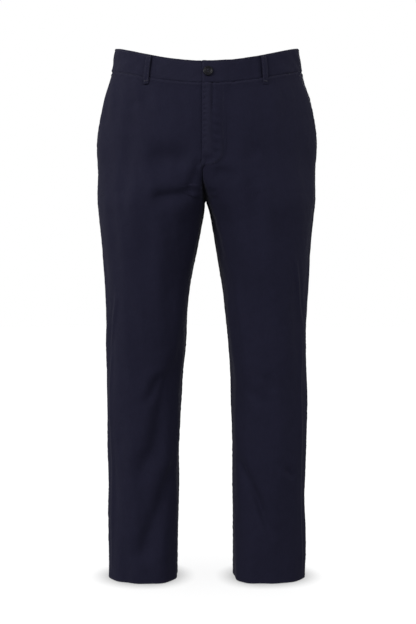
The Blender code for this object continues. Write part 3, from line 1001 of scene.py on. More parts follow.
@dataclass(frozen=True)
class Fly:
    """The relief of the left front at the fly: its step over the right one, its edge, stitches and puckers.

    A name with across gives distances from the centre seam, one with z gives heights, and one with below
    gives how far under the waistband's seam. The stitch line runs down and then bends in to its foot.
    """

    stitch: float = 0.0305
    foot: float = -0.0030
    bend: float = -0.2210
    drop: float = 0.0285
    step: float = 0.0023
    step_across: Span = (0.034, 0.012)
    step_fade: Span = (0.022, 0.004)
    band_step: float = 0.0021
    band_across: Span = (0.050, 0.034)
    band_below: Span = (0.030, 0.004)
    strip: Bell = Bell(0.0009, 0.0010, 0.0080, 4)
    strip_z: Span = (-0.232, -0.216)
    groove: Bell = Bell(1.0, 0.0104, 0.0028)
    groove_depth: Span = (-0.0014, -0.0018)
    groove_deep_z: Span = (-0.165, -0.130)
    groove_z: Span = (-0.232, -0.175)
    edge_roll: Span = (-0.0005, -0.0005)
    edge_roll_z: Span = (-0.200, -0.225)
    edge_across: Span = (0.0, 0.0018)
    sewn_up: Span = (-0.004, 0.0165)
    sewn_foot: Span = (-0.008, 0.004)
    sewn_across: Span = (-0.010, -0.002)
    thread_dip: Bell = Bell(-0.0004, 0.0, 0.0011)
    inside: Bell = Bell(0.0009, -0.0026, 0.0022)
    outside: float = -0.0008
    outside_near: Span = (-0.0010, 0.0035)
    outside_far: Span = (0.0180, 0.0040)
    beside_z: Span = (-0.170, -0.215)
    pucker: Bell = Bell(-0.0019, -0.0040, 0.0030)
    pucker_pitch: float = 0.0104
    pucker_wander: Span = (0.0016, 173.0)
    pucker_z: Span = (-0.232, -0.215)
    hollow: Bell = Bell(-0.0019, -0.2360, 0.0070)
    hollow_across: Span = (0.020, 0.006)
    drag: Bell = Bell(-0.0023, 0.0180, 0.0060)
    drag_pitch: float = 0.0165
    drag_slant: float = 0.55
    drag_z: Span = (-0.240, -0.222)
    drag_more_z: Span = (-0.150, -0.172)
    drag_least: float = 0.35
    # Painted highlight: the lap's edge strip and the stitch line are painted paler where light catches them.
    highlight_strip: Bell = Bell(0.55, 0.0005, 0.0088, 6)
    highlight_strip_z: Span = (-0.236, -0.222)
    highlight_line: Bell = Bell(1.0, -0.0014, 0.0020)
    highlight_line_share: Span = (0.12, 0.30)
    highlight_line_z: Span = (-0.19, -0.22)

    def curve(self, distance: Array, z: Array) -> Array:
        """How far places lie outside the stitch line, or below 0 inside it.

        Args:
            distance: the distances from the centre seam.
            z: the heights.

        Returns:
            How far out each place lies.
        """
        across = (distance - self.foot) / (self.stitch - self.foot)
        down = np.minimum(z - self.bend, 0.0) / self.drop
        return (np.hypot(across, down) - 1.0) * self.drop

    def lift(self, distance: Array, z: Array, below: Array, from_edge: Array, bottom: float) -> Array:
        """How far the fly lifts the cloth.

        Args:
            distance: the distances from the centre seam.
            z: the heights.
            below: how far the places lie under the waistband's seam.
            from_edge: how far they lie from the left front's edge.
            bottom: the height at which the fly's lap ends.

        Returns:
            The lift at each place.
        """
        down = ease(z, bottom - self.step_fade[0], bottom - self.step_fade[1])
        step = self.step * ease(distance, *self.step_across) * down
        under_band = self.band_step * ease(distance, *self.band_across) * ease(below, *self.band_below)
        groove = self.groove_depth[0] + self.groove_depth[1] * ease(z, *self.groove_deep_z)
        edge = self.edge_roll[0] + self.edge_roll[1] * ease(z, *self.edge_roll_z)
        slant = 0.5 + 0.5 * np.cos(2.0 * math.pi * (z + self.drag_slant * distance) / self.drag_pitch)
        more = self.drag_least + (1.0 - self.drag_least) * ease(z, *self.drag_more_z)
        return (
            np.maximum(step, under_band)
            + self.strip.at(distance) * ease(z, *self.strip_z)
            + groove * self.groove.at(distance) * ease(z, *self.groove_z)
            + edge * (1.0 - ease(from_edge, *self.edge_across)) * down
            + self._line(distance, z)
            + self._puckers(distance, z)
            + self.hollow.at(z) * ease(distance, *self.hollow_across)
            + self.drag.at(distance) * slant**2 * ease(z, *self.drag_z) * more
        )

    def _line(self, distance: Array, z: Array) -> Array:
        """The relief along the stitch line: the dip of its thread, a swell inside it and a hollow outside.

        Args:
            distance: the distances from the centre seam.
            z: the heights.

        Returns:
            The lift at each place.
        """
        outside, foot = self.curve(distance, z), self.bend - self.drop
        up, across = ease(z, foot + self.sewn_up[0], foot + self.sewn_up[1]), ease(distance, *self.sewn_foot)
        sewn = np.where(z > foot, 1.0, up * across) * ease(distance, *self.sewn_across)
        hollow = self.outside * ease(outside, *self.outside_near) * ease(outside, *self.outside_far)
        beside = (self.inside.at(outside) + hollow) * ease(z, *self.beside_z)
        return (self.thread_dip.at(outside) + beside) * sewn

    def _puckers(self, distance: Array, z: Array) -> Array:
        """The row of puckers beside the fly's edge.

        Args:
            distance: the distances from the centre seam.
            z: the heights.

        Returns:
            The lift at each place.
        """
        wander, rate = self.pucker_wander
        beat = 0.5 + 0.5 * np.cos(2.0 * math.pi * (z + wander * np.sin(z * rate)) / self.pucker_pitch)
        return self.pucker.at(distance) * beat**3 * ease(z, *self.pucker_z)

    def wear_and_highlight(self, distance: Array, z: Array) -> Array:
        """The painted highlight on the fly's edge strip and along its stitch line, from 0 to 1.

        Args:
            distance: the distances from the centre seam.
            z: the heights.

        Returns:
            The painted highlight at each place.
        """
        strip = self.highlight_strip.at(distance) * ease(z, *self.highlight_strip_z)
        least, more = self.highlight_line_share
        line = self.highlight_line.at(self.curve(distance, z)) * ease(distance, *self.sewn_across)
        return np.maximum(strip, (least + more * ease(z, *self.highlight_line_z)) * line)


@dataclass
class LegPanel(ClothPiece):
    """One of the four leg panels, from the waistband seam to the hem.

    A calm is the share of the hang that is taken away somewhere, and how near to it. A roll is how far an
    edge turns in. A name with across, z or fade gives the places between which something eases in, and one
    with above how far over the crotch the front's and the back's seams are held shut.
    """

    fly: Fly = Fly()
    hem_z: float = -1.049
    seam_drop_share: float = 0.934
    crotch_row: int = 12
    fly_under: float = 0.006
    tuck_height: float = 0.020
    grid_width: float = 0.24
    grid_body: float = 0.3065
    grid_leg: float = 0.697
    growth: Span = (0.13, 0.22)
    coarse: float = 0.0025
    fine: float = 0.0004
    body_step: float = 0.0026
    leg_step: float = 0.0036
    gather: Span = (-0.450, -0.235)
    gather_power: float = 4.0
    mouth_fade: Span = (-0.004, 0.012)
    crotch_calm: Triple = (0.75, 0.03, 0.02)
    top_calm: tuple[float, Span] = (0.75, (0.0, 0.05))
    lap_calm: tuple[float, Span] = (0.8, (0.04, 0.01))
    firm_across: Span = (0.104, 0.118)
    seam_roll: float = 0.0013
    top_weight: float = 1.5
    top_roll: Span = (0.0007, 0.0009)
    hem_roll: float = 0.0004
    turned_edge: Span = (0.0, 0.0012)
    lap_shade: Bell = Bell(-0.0012, 0.0100, 0.0016)
    lap_shade_z: Span = (-0.262, -0.244)
    closed_above: Span = (0.082, 0.150)
    closed_fade: float = 0.022
    closed_below: float = 0.004
    closed_across: Span = (0.016, 0.006)
    mouth_lip: Bell = Bell(0.0007, 0.0, 0.0065)
    mouth_roll: float = 0.0006
    mouth_stitches: Bell = Bell(-0.0004, 0.0052, 0.0011)
    seam_stand: Bell = Bell(0.00055, 0.0040, 0.0026)
    seam_ply: float = 0.00020
    seam_ply_across: Span = (0.014, 0.010)
    seam_across: Span = (0.0, 0.0024)
    pucker_height: float = 0.00030
    pucker_size: float = 0.012
    pucker_reach: float = 0.008
    seam_seeds: tuple[int, int, int] = (21, 22, 23)
    # Paler edges: below the waistband seam and along the side seam a painted highlight on the seam's ridge;
    # at the hem and the inner edge partly abrasion, partly painted highlight.
    worn_and_lit: float = 0.7
    highlight_top: Bell = Bell(1.0, 0.0030, 0.0020)
    highlight_side: Bell = Bell(1.0, 0.0028, 0.0030)
    highlight_side_share: Span = (0.8, 0.6)
    highlight_side_z: Span = (-0.40, -0.50)
    worn_and_lit_hem: Bell = Bell(1.0, 0.0, 0.0028)
    worn_and_lit_inner: Bell = Bell(0.6, 0.0025, 0.0022)

    def inner_edge(self, z: Array) -> Array:
        """The distance of the edge at the centre seam, the fly or the inseam.

        Args:
            z: the heights.

        Returns:
            The distance at each height.
        """
        if self.half is BACK:
            return np.full(np.shape(z), self.seam_gap / 2)
        seam = self.seam_gap / 2 - self.side.value * self.form.fly_edge(z)
        return seam if self.side is LEFT else seam + (-self.fly_under - seam) * self._tucked(z)

    def outer_edge(self, z: Array) -> Array:
        """The distance of the edge at the side seam, or at the pocket mouth on a front."""
        edge = self.form.side_seam(self.side, self.half, z) - self.seam_gap / 2
        return edge - self.form.mouth(z) if self.half is FRONT else edge

    def _tucked(self, z: Array) -> Array:
        """How far the right front lies under the left one at the fly, from 0 to 1."""
        return ease(z, self.form.fly_bottom, self.form.fly_bottom + self.tuck_height)

    def top(self, distance: Array, z: Array) -> Array:
        """The height of the waistband seam above or below a place."""
        dip = self.form.dip_at(self.side, self.half, distance, z)
        return -self.form.band_depth + self.seam_drop_share * dip

    def grid(self) -> tuple[Array, Array]:
        """Rows from the waistband seam to the hem, and columns from the inner edge to the side.

        Returns:
            The distance round and the height of each grid point.
        """
        at_side, at_inner, shares = (np.array(column) for column in zip(*PANEL_ROWS))
        body = graded(self.grid_body, self.body_step, self.fine, self.body_step)
        leg = graded(self.grid_leg, self.leg_step, self.body_step, self.fine)
        top, crotch = at_side[0], at_side[self.crotch_row]
        rows = np.concatenate([top + (crotch - top) * body, (crotch + (self.hem_z - crotch) * leg)[1:]])
        inner, waist = (np.interp(-rows, -at_side, values) for values in (at_inner, shares))
        growth = self.growth[0] if self.half is FRONT else self.growth[1]
        columns = graded(self.grid_width, self.coarse, self.fine, self.fine, growth)
        level = rows[:, None] + (inner - rows)[:, None] * (1.0 - columns[None, :]) ** 2
        return self.settle(level, waist, columns, self.inner_edge, self.outer_edge)

    def across(self, span: Array, z: Array, columns: Array) -> Array:
        """How far the columns lie from the inner edge; those beside it take up what the crotch adds.

        Args:
            span: how far it is from edge to edge.
            z: the heights.
            columns: the share of the way across at each column.

        Returns:
            The distance from the inner edge at each column.
        """
        ends = np.array(self.gather)
        low, high = self.outer_edge(ends) - self.inner_edge(ends)
        share = (z - ends[0]) / (ends[1] - ends[0])
        plain = np.where((share > 0.0) & (share < 1.0), np.minimum(low + (high - low) * share, span), span)
        return plain * columns + (span - plain) * (1.0 - (1.0 - columns) ** self.gather_power)

    def _mouth_share(self, z: Array) -> Array:
        """How much of a front's outer edge is pocket mouth at a height, from 0 to 1.

        Args:
            z: the heights.

        Returns:
            The share at each height.
        """
        if self.half is BACK:
            return np.zeros(np.shape(z))
        return ease(z, *(self.form.pocket_bottom + step for step in self.mouth_fade))

    def _calm(self, near: Array, z: Array, from_top: Array, lapped: Array) -> Array:
        """How much of the hang is left beside the crotch, the waistband and the fly's lap, from 0 to 1.

        Args:
            near: how far the places lie from the centre seam or the inseam.
            z: the heights.
            from_top: how far they lie under the waistband's seam.
            lapped: how much of the edge is fly at each height, from 0 to 1.

        Returns:
            The share at each place.
        """
        share, height, width = self.crotch_calm
        calm = 1.0 - share * np.exp(-(((z - self.form.crotch_z) / height) ** 2) - (near / width) ** 2)
        share, reach = self.top_calm
        calm = calm * (1.0 - share + share * ease(from_top, *reach))
        share, reach = self.lap_calm
        return calm * (1.0 - share * lapped * ease(near, *reach))

    def lift(self, distance: Array, z: Array) -> Array:
        """The hang of the cloth, the roll at its seams, and the relief of the fly.

        Args:
            distance: the distances round from the centre seam or the inseam.
            z: the heights.

        Returns:
            The lift at each place.
        """
        points, normals = self.form.with_normals(self.side, self.half, distance, z)
        mouth = self._mouth_share(z)
        from_inner = distance - self.inner_edge(z)
        from_outer = self.outer_edge(z) - distance
        from_top = self.top(distance, z) - z
        lapped = self._tucked(z) if self.half is FRONT else np.zeros(np.shape(z))
        near = np.abs(distance)
        lift = self.drape.lift(self.side, points, normals) * self._calm(near, z, from_top, lapped)
        inner_seed, outer_seed, top_seed = self.seam_seeds
        lift = lift + self._seam(from_inner, points, inner_seed) * (1.0 - lapped)
        lift = lift * (1.0 - self._closed(near, z))
        lift = lift + self._seam(from_outer, points, outer_seed) * (1.0 - mouth)
        lift = lift + mouth * self._mouth_edge(from_outer)
        roll, more = self.top_roll
        top_roll = roll + more * ease(distance, *self.firm_across)
        lift = lift + self._seam(from_top, points, top_seed, self.top_weight, top_roll)
        lift = lift - self.hem_roll * (1.0 - ease(z - self.hem_z, *self.turned_edge))
        if self.half is FRONT and self.side is LEFT:
            lift = lift + self.fly.lift(distance, z, from_top, from_inner, self.form.fly_bottom)
        if self.half is FRONT and self.side is RIGHT:
            lift = lift + self.lap_shade.at(distance) * ease(z, *self.lap_shade_z)
        return lift

    def _closed(self, near: Array, z: Array) -> Array:
        """How much the cloth is held shut along the seam under the crotch, from 0 to 1.

        Args:
            near: how far the places lie from the centre seam or the inseam.
            z: the heights.

        Returns:
            The share at each place.
        """
        start = self.form.crotch_z + self.closed_above[0 if self.half is FRONT else 1]
        deep = ease(z, start, start - self.closed_fade) * (z > self.form.crotch_z - self.closed_below)
        return deep * ease(near, *self.closed_across)

    def _mouth_edge(self, away: Array) -> Array:
        """The relief at a pocket mouth: a folded lip, and the dip of its row of stitches."""
        roll = self.mouth_roll * (1.0 - ease(away, *self.turned_edge))
        return self.mouth_lip.at(away) - roll + self.mouth_stitches.at(away)

    def _seam(
        self, away: Array, points: Array, seed: int, weight: float = 1.0, roll: float | Array | None = None
    ) -> Array:
        """The relief beside a seam: its edge rolls in, the turned cloth under it stands up and puckers.

        Args:
            away: how far the places lie from the seam.
            points: places on the form, with X, Y and Z last.
            seed: which puckers it has.
            weight: the share of the relief that shows.
            roll: how far the edge turns in.

        Returns:
            The lift at each place.
        """
        size = self.pucker_size
        puckers = Ripples(self.pucker_height, size, size, seed).at(points)
        stand = self.seam_stand.at(away) + self.seam_ply * ease(away, *self.seam_ply_across)
        stand = stand + puckers * np.exp(-np.abs(away) / self.pucker_reach)
        roll = self.seam_roll if roll is None else roll
        return weight * stand - roll * (1.0 - ease(away, *self.seam_across))

    def wear_and_highlight(self, distance: Array, z: Array) -> Array:
        """The edges are a little lighter: below the waist seam, along the side and the pocket mouth a painted
        highlight on the seam's ridge, and at the hem and the inner edge partly abrasion and partly painted
        highlight.

        Args:
            distance: the distances round from the centre seam or the inseam.
            z: the heights.

        Returns:
            How much lighter each place is, from 0 to 1.
        """
        least, more = self.highlight_side_share
        side = self.highlight_side.at(self.outer_edge(z) - distance) * (least + more * ease(z, *self.highlight_side_z))
        top = self.highlight_top.at(self.top(distance, z) - z)
        inner = self.worn_and_lit_inner.at(distance - self.inner_edge(z))
        worn_and_lit = self.worn_and_lit * np.maximum.reduce([top, side, self.worn_and_lit_hem.at(z - self.hem_z), inner])
        if self.half is FRONT and self.side is LEFT:
            worn_and_lit = np.maximum(worn_and_lit, self.fly.wear_and_highlight(distance, z))
        return np.clip(worn_and_lit, 0.0, 1.0)


@dataclass
class WaistbandHalf(ClothPiece):
    """Half of the waistband, from its end at the fly round to the centre back.

    A name with steps gives what the grid's places are graded by, and one with across or depth gives the
    distances, round the band or from an edge of it, between which something eases in.
    """

    wall: float = 0.0017
    held: str = "stretched"
    seam_drop_share: float = 0.934
    proud: float = 0.0006
    lap: float = 0.0085
    under: float = 0.030
    lap_step: float = 0.0024
    lap_across: Span = (0.048, 0.032)
    lap_roll: float = 0.0008
    lap_roll_across: Span = (0.0, 0.0018)
    lap_shade: Bell = Bell(-0.0009, 0.0095, 0.0012)
    row_steps: tuple[float, ...] = (0.0026, 0.0004, 0.0004, 0.3)
    column_steps: tuple[float, ...] = (0.24, 0.0030, 0.0004, 0.0030)
    swell: float = 0.0003
    top_roll: float = 0.0008
    top_roll_depth: Span = (0.0, 0.0016)
    seam_roll: float = 0.0010
    seam_roll_depth: Span = (0.0, 0.0020)
    top_stitch: float = 0.0042
    stitch_dip: Bell = Bell(-0.00070, 0.0048, 0.0013)
    waves: Ripples = Ripples(0.00042, 0.040, 0.040, 31)
    puckers: Ripples = Ripples(0.00034, 0.012, 0.012, 32)
    pucker_reach: Span = (0.008, 0.010)
    pucker_top: float = 0.6
    loop_depth: float = 0.0017
    loop_shade: Bell = Bell(1.0, -0.0066, 0.0017)
    loop_far_shade: Bell = Bell(1.1, 0.0066, 0.0015)
    loop_top: Span = (0.0, 0.0060)
    # Painted highlight: paler under the top edge in uneven patches, beside the seam and at the lap's end, and
    # painted light over the front near the button.
    highlight_top: Bell = Bell(1.0, 0.0020, 0.0020)
    highlight_seam: Bell = Bell(0.5, 0.0, 0.0012)
    highlight_lap: Bell = Bell(1.0, -0.0069, 0.0018)
    highlight_uneven: Span = (0.75, 0.25)
    highlight_rates: Triple = (620.0, 2.0, 97.0)
    worn_left: float = 0.16
    worn_left_across: Span = (0.060, 0.030)
    worn_right: float = 0.42
    worn_right_across: Span = (0.124, 0.088)

    def _down(self) -> Array:
        """Shares of the band's depth for its rows, from its top edge down."""
        return graded(self.form.band_depth - self.seam_gap, *self.row_steps)

    def _part(self, half: Half) -> tuple[Array, Array]:
        """The grid on one half of the body.

        Args:
            half: the front or the back.

        Returns:
            The distance round and the height of each grid point.
        """
        piece = WaistbandHalf(self.form, self.drape, self.side, half, self.name)
        start = self.seam_gap / 2
        if half is FRONT:
            start = -self.lap if self.side is LEFT else -self.under
        down = self._down()
        return piece.settle(
            -(self.form.band_depth - self.seam_gap) * down,
            1.0 + (self.seam_drop_share - 1.0) * down,
            graded(*self.column_steps),
            lambda z: np.full(np.shape(z), start),
            lambda z: self.form.half_length(self.side, half, z),
        )

    def band_lift(self, half: Half, distance: Array, z: Array) -> Array:
        """How far the band's outer face lies off the form on one half.

        Args:
            half: the front or the back.
            distance: the distances round from the centre seam or the inseam.
            z: the heights.

        Returns:
            The lift at each place.
        """
        points = self.form.surface(self.side, half, distance, z)
        dip = self.form.dip_at(self.side, half, distance, z)
        share = np.clip((dip - z) / (self.form.band_depth + (1.0 - self.seam_drop_share) * dip), 0.0, 1.0)
        from_top, from_seam = share * self.form.band_depth, (1.0 - share) * self.form.band_depth
        near_seam, near_top = (
            np.exp(-away / reach) for away, reach in zip((from_seam, from_top), self.pucker_reach)
        )
        lift = (
            self.proud
            + self.waves.at(points)
            + self.swell * np.sin(math.pi * share)
            - self.top_roll * (1.0 - ease(from_top, *self.top_roll_depth))
            - self.seam_roll * (1.0 - ease(from_seam, *self.seam_roll_depth))
            + self.stitch_dip.at(from_top)
            + self.puckers.at(points) * (near_seam + self.pucker_top * near_top)
        )
        if half is FRONT and self.side is LEFT:
            lift = lift + self.lap_step * ease(distance, *self.lap_across)
            lift = lift - self.lap_roll * (1.0 - ease(distance + self.lap, *self.lap_roll_across))
        elif half is FRONT:
            lift = lift + self.lap_shade.at(distance)
        for spot in LOOPS:
            if spot.side is self.side and spot.half is half:
                beside = distance - spot.centre - spot.lean * share
                shade = self.loop_shade.at(beside)
                if self.side is LEFT:
                    shade = shade + self.loop_far_shade.at(beside)
                lift = lift - self.loop_depth * shade * ease(from_top, *self.loop_top)
        return lift

    def band_highlight(self, half: Half, distance: Array, along: Array) -> Array:
        """The painted highlight on the band on one half: under its top edge, by its seam, at its end, and
        painted light over the middle of the front.

        Args:
            half: the half of the body.
            distance: the grid's distances from the half's centre seam.
            along: its distances from the front's centre.

        Returns:
            The painted highlight, from 0 to 1.
        """
        down = self._down()[:, None] * np.ones_like(distance)
        even, uneven = self.highlight_uneven
        fine, sway, slow = self.highlight_rates
        patches = even + uneven * np.sin(along * fine + sway * np.sin(along * slow))
        top = self.highlight_top.at(down * self.form.band_depth) * patches
        wear_and_highlight = np.maximum(top, self.highlight_seam.at((1.0 - down) * self.form.band_depth))
        if half is BACK:
            return wear_and_highlight
        if self.side is LEFT:
            middle = self.worn_left * ease(distance, *self.worn_left_across)
            return np.maximum.reduce([wear_and_highlight, self.highlight_lap.at(distance), middle])
        return np.maximum(wear_and_highlight, self.worn_right * ease(distance, *self.worn_right_across))

    def build(self, finish: Finish) -> Thing:
        """Makes the half band as one closed wall round the side.

        Args:
            finish: the cloth's material.

        Returns:
            The finished object.
        """
        parts = []
        for half in (FRONT, BACK):
            distance, z = self._part(half)
            points, normals = self.form.with_normals(self.side, half, distance, z)
            lift = self.band_lift(half, distance, z)[..., None]
            whole = sum(self.form.half_length(self.side, each, z) for each in (FRONT, BACK))
            along = distance if half is FRONT else whole - distance
            uv = np.stack([self.side.value * along, z], axis=-1)
            outer, inner = points + normals * lift, points + normals * (lift - self.wall)
            parts.append((outer, inner, uv, self.band_highlight(half, distance, along), points))
        *grids, flat = (np.concatenate([front, back[:, -2::-1]], axis=1) for front, back in zip(*parts))
        made = shell(self.name + "_cloth", *grids, self.side is LEFT, finish)
        return self.declare(made, Cut.of(flat))

    def along(self, half: Half, below: float, start: float, end: float, count: int) -> Array:
        """A line of points on the band's outer face, a distance below its top edge.

        Args:
            half: the front or the back.
            below: how far the line lies below the top edge.
            start: the distance round at its start.
            end: the distance round at its end.
            count: how many points it has.

        Returns:
            The points, with X, Y and Z last.
        """
        distance = np.linspace(start, end, count)
        z = np.full(count, -below)
        for _ in range(SETTLING):
            z = self.form.dip_at(self.side, half, distance, z) - below
        points, normals = self.form.with_normals(self.side, half, distance, z)
        return points + normals * (self.band_lift(half, distance, z) + THREAD_ABOVE)[:, None]


@dataclass
class PocketFacing(ClothPiece):
    """The hip piece behind a slanting pocket mouth."""

    top_z: float = -0.046
    bottom_z: float = -0.199
    underlap: float = 0.014
    inset: float = 0.0029
    row_steps: tuple[float, ...] = (0.0030, 0.0006, 0.0020)
    mouth_steps: tuple[float, ...] = (0.0026, 0.0006, 0.0020)
    under_steps: tuple[float, ...] = (0.0030, 0.0020, 0.0030)
    least_mouth: float = 1e-4
    seam_roll: float = 0.0007
    seam_across: Span = (0.0, 0.0016)
    seam_stand: Bell = Bell(0.0003, 0.0032, 0.0022)
    waves: Ripples = Ripples(0.00016, 0.03, 0.05, 41)

    def grid(self) -> tuple[Array, Array]:
        """Rows down the pocket, and columns from the side seam to under the front.

        Returns:
            The distance round and the height of each grid point.
        """
        rows = self.top_z + (self.bottom_z - self.top_z) * graded(self.top_z - self.bottom_z, *self.row_steps)
        mouth_columns = graded(self.form.pocket_setback, *self.mouth_steps)
        under = graded(self.underlap, *self.under_steps)[1:]
        mouth = np.maximum(self.form.mouth(rows), 0.0)[:, None]
        across = np.concatenate([mouth_columns, np.ones(len(under))])
        beyond = np.concatenate([np.zeros(len(mouth_columns)), under])
        columns = (across * mouth + beyond * self.underlap) / (mouth + self.underlap)
        waist = self.form.waist_share(rows)
        return self.settle(rows, waist, columns, self._seam_edge, self._under_edge)

    def _seam_edge(self, z: Array) -> Array:
        """The distance of the edge at the side seam."""
        return self.form.side_seam(self.side, FRONT, z) - self.seam_gap / 2

    def _under_edge(self, z: Array) -> Array:
        """The distance of the edge that lies under the front."""
        return self._seam_edge(z) - self.form.mouth(z) - self.underlap

    @property
    def flip(self) -> bool:
        """The columns run from the side inwards, so the faces turn the other way."""
        return self.side.value * self.half.value > 0

    def lift(self, distance: Array, z: Array) -> Array:
        """The facing lies flush at the side seam and under the front's edge at the mouth.

        Args:
            distance: the distances round from the centre seam or the inseam.
            z: the heights.

        Returns:
            The lift at each place.
        """
        from_seam = self._seam_edge(z) - distance
        share = np.clip(from_seam / np.maximum(self.form.mouth(z), self.least_mouth), 0.0, 1.0)
        points = self.form.surface(self.side, FRONT, distance, z)
        relief = self.seam_stand.at(from_seam) - self.seam_roll * (1.0 - ease(from_seam, *self.seam_across))
        return self.waves.at(points) - self.inset * ease(share, 0.0, 1.0) + relief


@dataclass
class FlyShield(ClothPiece):
    """The strip that closes the fly from behind."""

    wall: float = 0.0010
    start: float = -0.012
    end: float = 0.036
    inset: float = 0.0024
    top_z: float = -0.048
    bottom_z: float = -0.236
    rows: int = 64
    columns: int = 17

    def grid(self) -> tuple[Array, Array]:
        """Rows down the fly and columns across it.

        Returns:
            The distance round and the height of each grid point.
        """
        rows = self.top_z + (self.bottom_z - self.top_z) * np.linspace(0.0, 1.0, self.rows)
        columns = np.linspace(0.0, 1.0, self.columns)
        start, end = (lambda z, at=at: np.full(np.shape(z), at) for at in (self.start, self.end))
        return self.settle(rows, self.form.waist_share(rows), columns, start, end)

    def lift(self, distance: Array, z: Array) -> Array:
        """The shield lies a little inside the fronts."""
        return np.full(np.shape(distance), -self.inset)


@dataclass(frozen=True)
class LoopPlace:
    """Where a belt loop stands: its name, its side and half, how far from the centre seam, and its lean."""

    name: str
    side: Side
    half: Half
    centre: float
    lean: float = 0.0


LOOPS = (
    LoopPlace("right_front_belt_loop", RIGHT, FRONT, 0.1118, 0.0060),
    LoopPlace("left_front_belt_loop", LEFT, FRONT, 0.1092, 0.0036),
    LoopPlace("right_back_belt_loop", RIGHT, BACK, 0.1550),
    LoopPlace("left_back_belt_loop", LEFT, BACK, 0.1550),
    LoopPlace("centre_back_belt_loop", LEFT, BACK, 0.0),
)

# How far a belt loop stands off the form, at distances below the waistband's top
LOOP_PROFILE = (
    (0.0025, 0.0011), (0.0080, 0.0026), (0.0160, 0.0038), (0.0260, 0.0042),
    (0.0370, 0.0040), (0.0455, 0.0032), (0.0520, 0.0018), (0.0580, 0.0006),
)


@dataclass
class BeltLoop(ClothPiece):
    """A strip from the top of the waistband to just below it, which stands off it in the middle.

    Its end rolls are how far the cloth turns in at its top and at its foot.
    """

    centre: float = 0.0
    lean: float = 0.0
    wall: float = 0.0014
    held: str = "stretched"
    width: float = 0.0105
    stitch_in: float = 0.0024
    row_steps: tuple[float, ...] = (0.0016, 0.0004, 0.0004)
    column_steps: tuple[float, ...] = (0.0011, 0.0003, 0.0003, 0.4)
    proud: float = 0.0002
    edge: Span = (0.0, 0.0012)
    edge_roll: float = 0.00055
    end_rolls: Span = (0.0005, 0.0004)
    stitch_dip: Bell = Bell(0.00022, 0.0024, 0.0009)
    waves: Ripples = Ripples(0.00010, 0.012, 0.012, 51)
    # Painted highlight along the loop's folded edges.
    highlight_edge: Bell = Bell(1.0, 0.0, 0.0011)
    line_ends: float = 0.002
    line_above: float = 0.00012
    bar_margin: float = 0.003
    bar_above: float = 0.00015

    @classmethod
    def at(cls, form: Form, drape: Drape, spot: LoopPlace) -> "BeltLoop":
        """The loop that stands at a place."""
        return cls(form, drape, spot.side, spot.half, spot.name, centre=spot.centre, lean=spot.lean)

    def _middle(self, down: Array) -> Array:
        """The distance of the loop's middle line, a distance below the waistband's top."""
        return self.centre + self.lean * down / LOOP_PROFILE[-1][0]

    def _top(self) -> float:
        """The height of the waistband's top behind the loop."""
        middle = np.array([-self.form.band_depth / 2])
        return float(self.form.dip_at(self.side, self.half, self.centre, middle)[0])

    def grid(self) -> tuple[Array, Array]:
        """Rows down the loop and columns across it.

        Returns:
            The distance round and the height of each grid point.
        """
        first, last = LOOP_PROFILE[0][0], LOOP_PROFILE[-1][0]
        down = first + (last - first) * graded(last - first, *self.row_steps)
        across = (graded(self.width, *self.column_steps) - 0.5) * self.width
        distance = self._middle(down)[:, None] + across[None, :]
        return distance, np.repeat((self._top() - down)[:, None], len(across), axis=1)

    def lift(self, distance: Array, z: Array) -> Array:
        """The loop stands off the band, with rolled edges and a dip along each row of stitches.

        Args:
            distance: the distances round from the centre seam or the inseam.
            z: the heights.

        Returns:
            The lift at each place.
        """
        down = self._top() - z
        knots, offsets = zip(*LOOP_PROFILE)
        stand = smooth_curve([-knot for knot in knots], offsets, -down)
        from_edge = self.width / 2 - np.abs(distance - self._middle(down))
        rolls = self.edge_roll * (1.0 - ease(from_edge, *self.edge))
        for roll, away in zip(self.end_rolls, (down - knots[0], knots[-1] - down)):
            rolls = rolls + roll * (1.0 - ease(away, *self.edge))
        points = self.form.surface(self.side, self.half, distance, z)
        return stand + self.wall + self.proud - rolls - self.stitch_dip.at(from_edge) + self.waves.at(points)

    def wear_and_highlight(self, distance: Array, z: Array) -> Array:
        """The folded edges are paler: a painted highlight along them."""
        from_edge = self.width / 2 - np.abs(distance - self._middle(self._top() - z))
        return np.clip(self.highlight_edge.at(from_edge), 0.0, 1.0)

    def line(self, aside: float, count: int = 24) -> Array:
        """A row of stitches down the loop, a distance from its middle."""
        down = np.linspace(LOOP_PROFILE[0][0] + self.line_ends, LOOP_PROFILE[-1][0] - self.line_ends, count)
        return self.place(self._middle(down) + aside, self._top() - down, self.line_above)

    def bar(self, down: float, count: int = 9) -> Array:
        """The line of a bar tack across the loop, a distance below the waistband's top."""
        aside = np.linspace(-0.5, 0.5, count) * (self.width - self.bar_margin)
        return self.place(self._middle(down) + aside, np.full(count, self._top() - down), self.bar_above)


def tube(points: Array, radius: float, sides: int) -> tuple[Array, list[tuple[int, ...]]]:
    """A closed round tube along some points.

    Args:
        points: the line, with X, Y and Z last.
        radius: the tube's radius.
        sides: how many sides it has.

    Returns:
        The vertices and the faces.
    """
    along = np.gradient(points, axis=0)
    along /= np.linalg.norm(along, axis=1, keepdims=True)
    upright = abs(along[0, 2]) >= UPRIGHT
    first = np.cross(along, np.array([1.0, 0.0, 0.0] if upright else [0.0, 0.0, 1.0]))
    first /= np.linalg.norm(first, axis=1, keepdims=True)
    second = np.cross(along, first)
    turn = np.arange(sides) * 2.0 * math.pi / sides
    ring = first[:, None] * np.cos(turn)[None, :, None] + second[:, None] * np.sin(turn)[None, :, None]
    vertices = (points[:, None] + radius * ring).reshape(-1, 3)
    faces = []
    for row in range(len(points) - 1):
        for k in range(sides):
            a, b = row * sides + k, row * sides + (k + 1) % sides
            faces.append((a, b, b + sides, a + sides))
    faces.append(tuple(range(sides))[::-1])
    faces.append(tuple((len(points) - 1) * sides + k for k in range(sides)))
    return vertices, faces


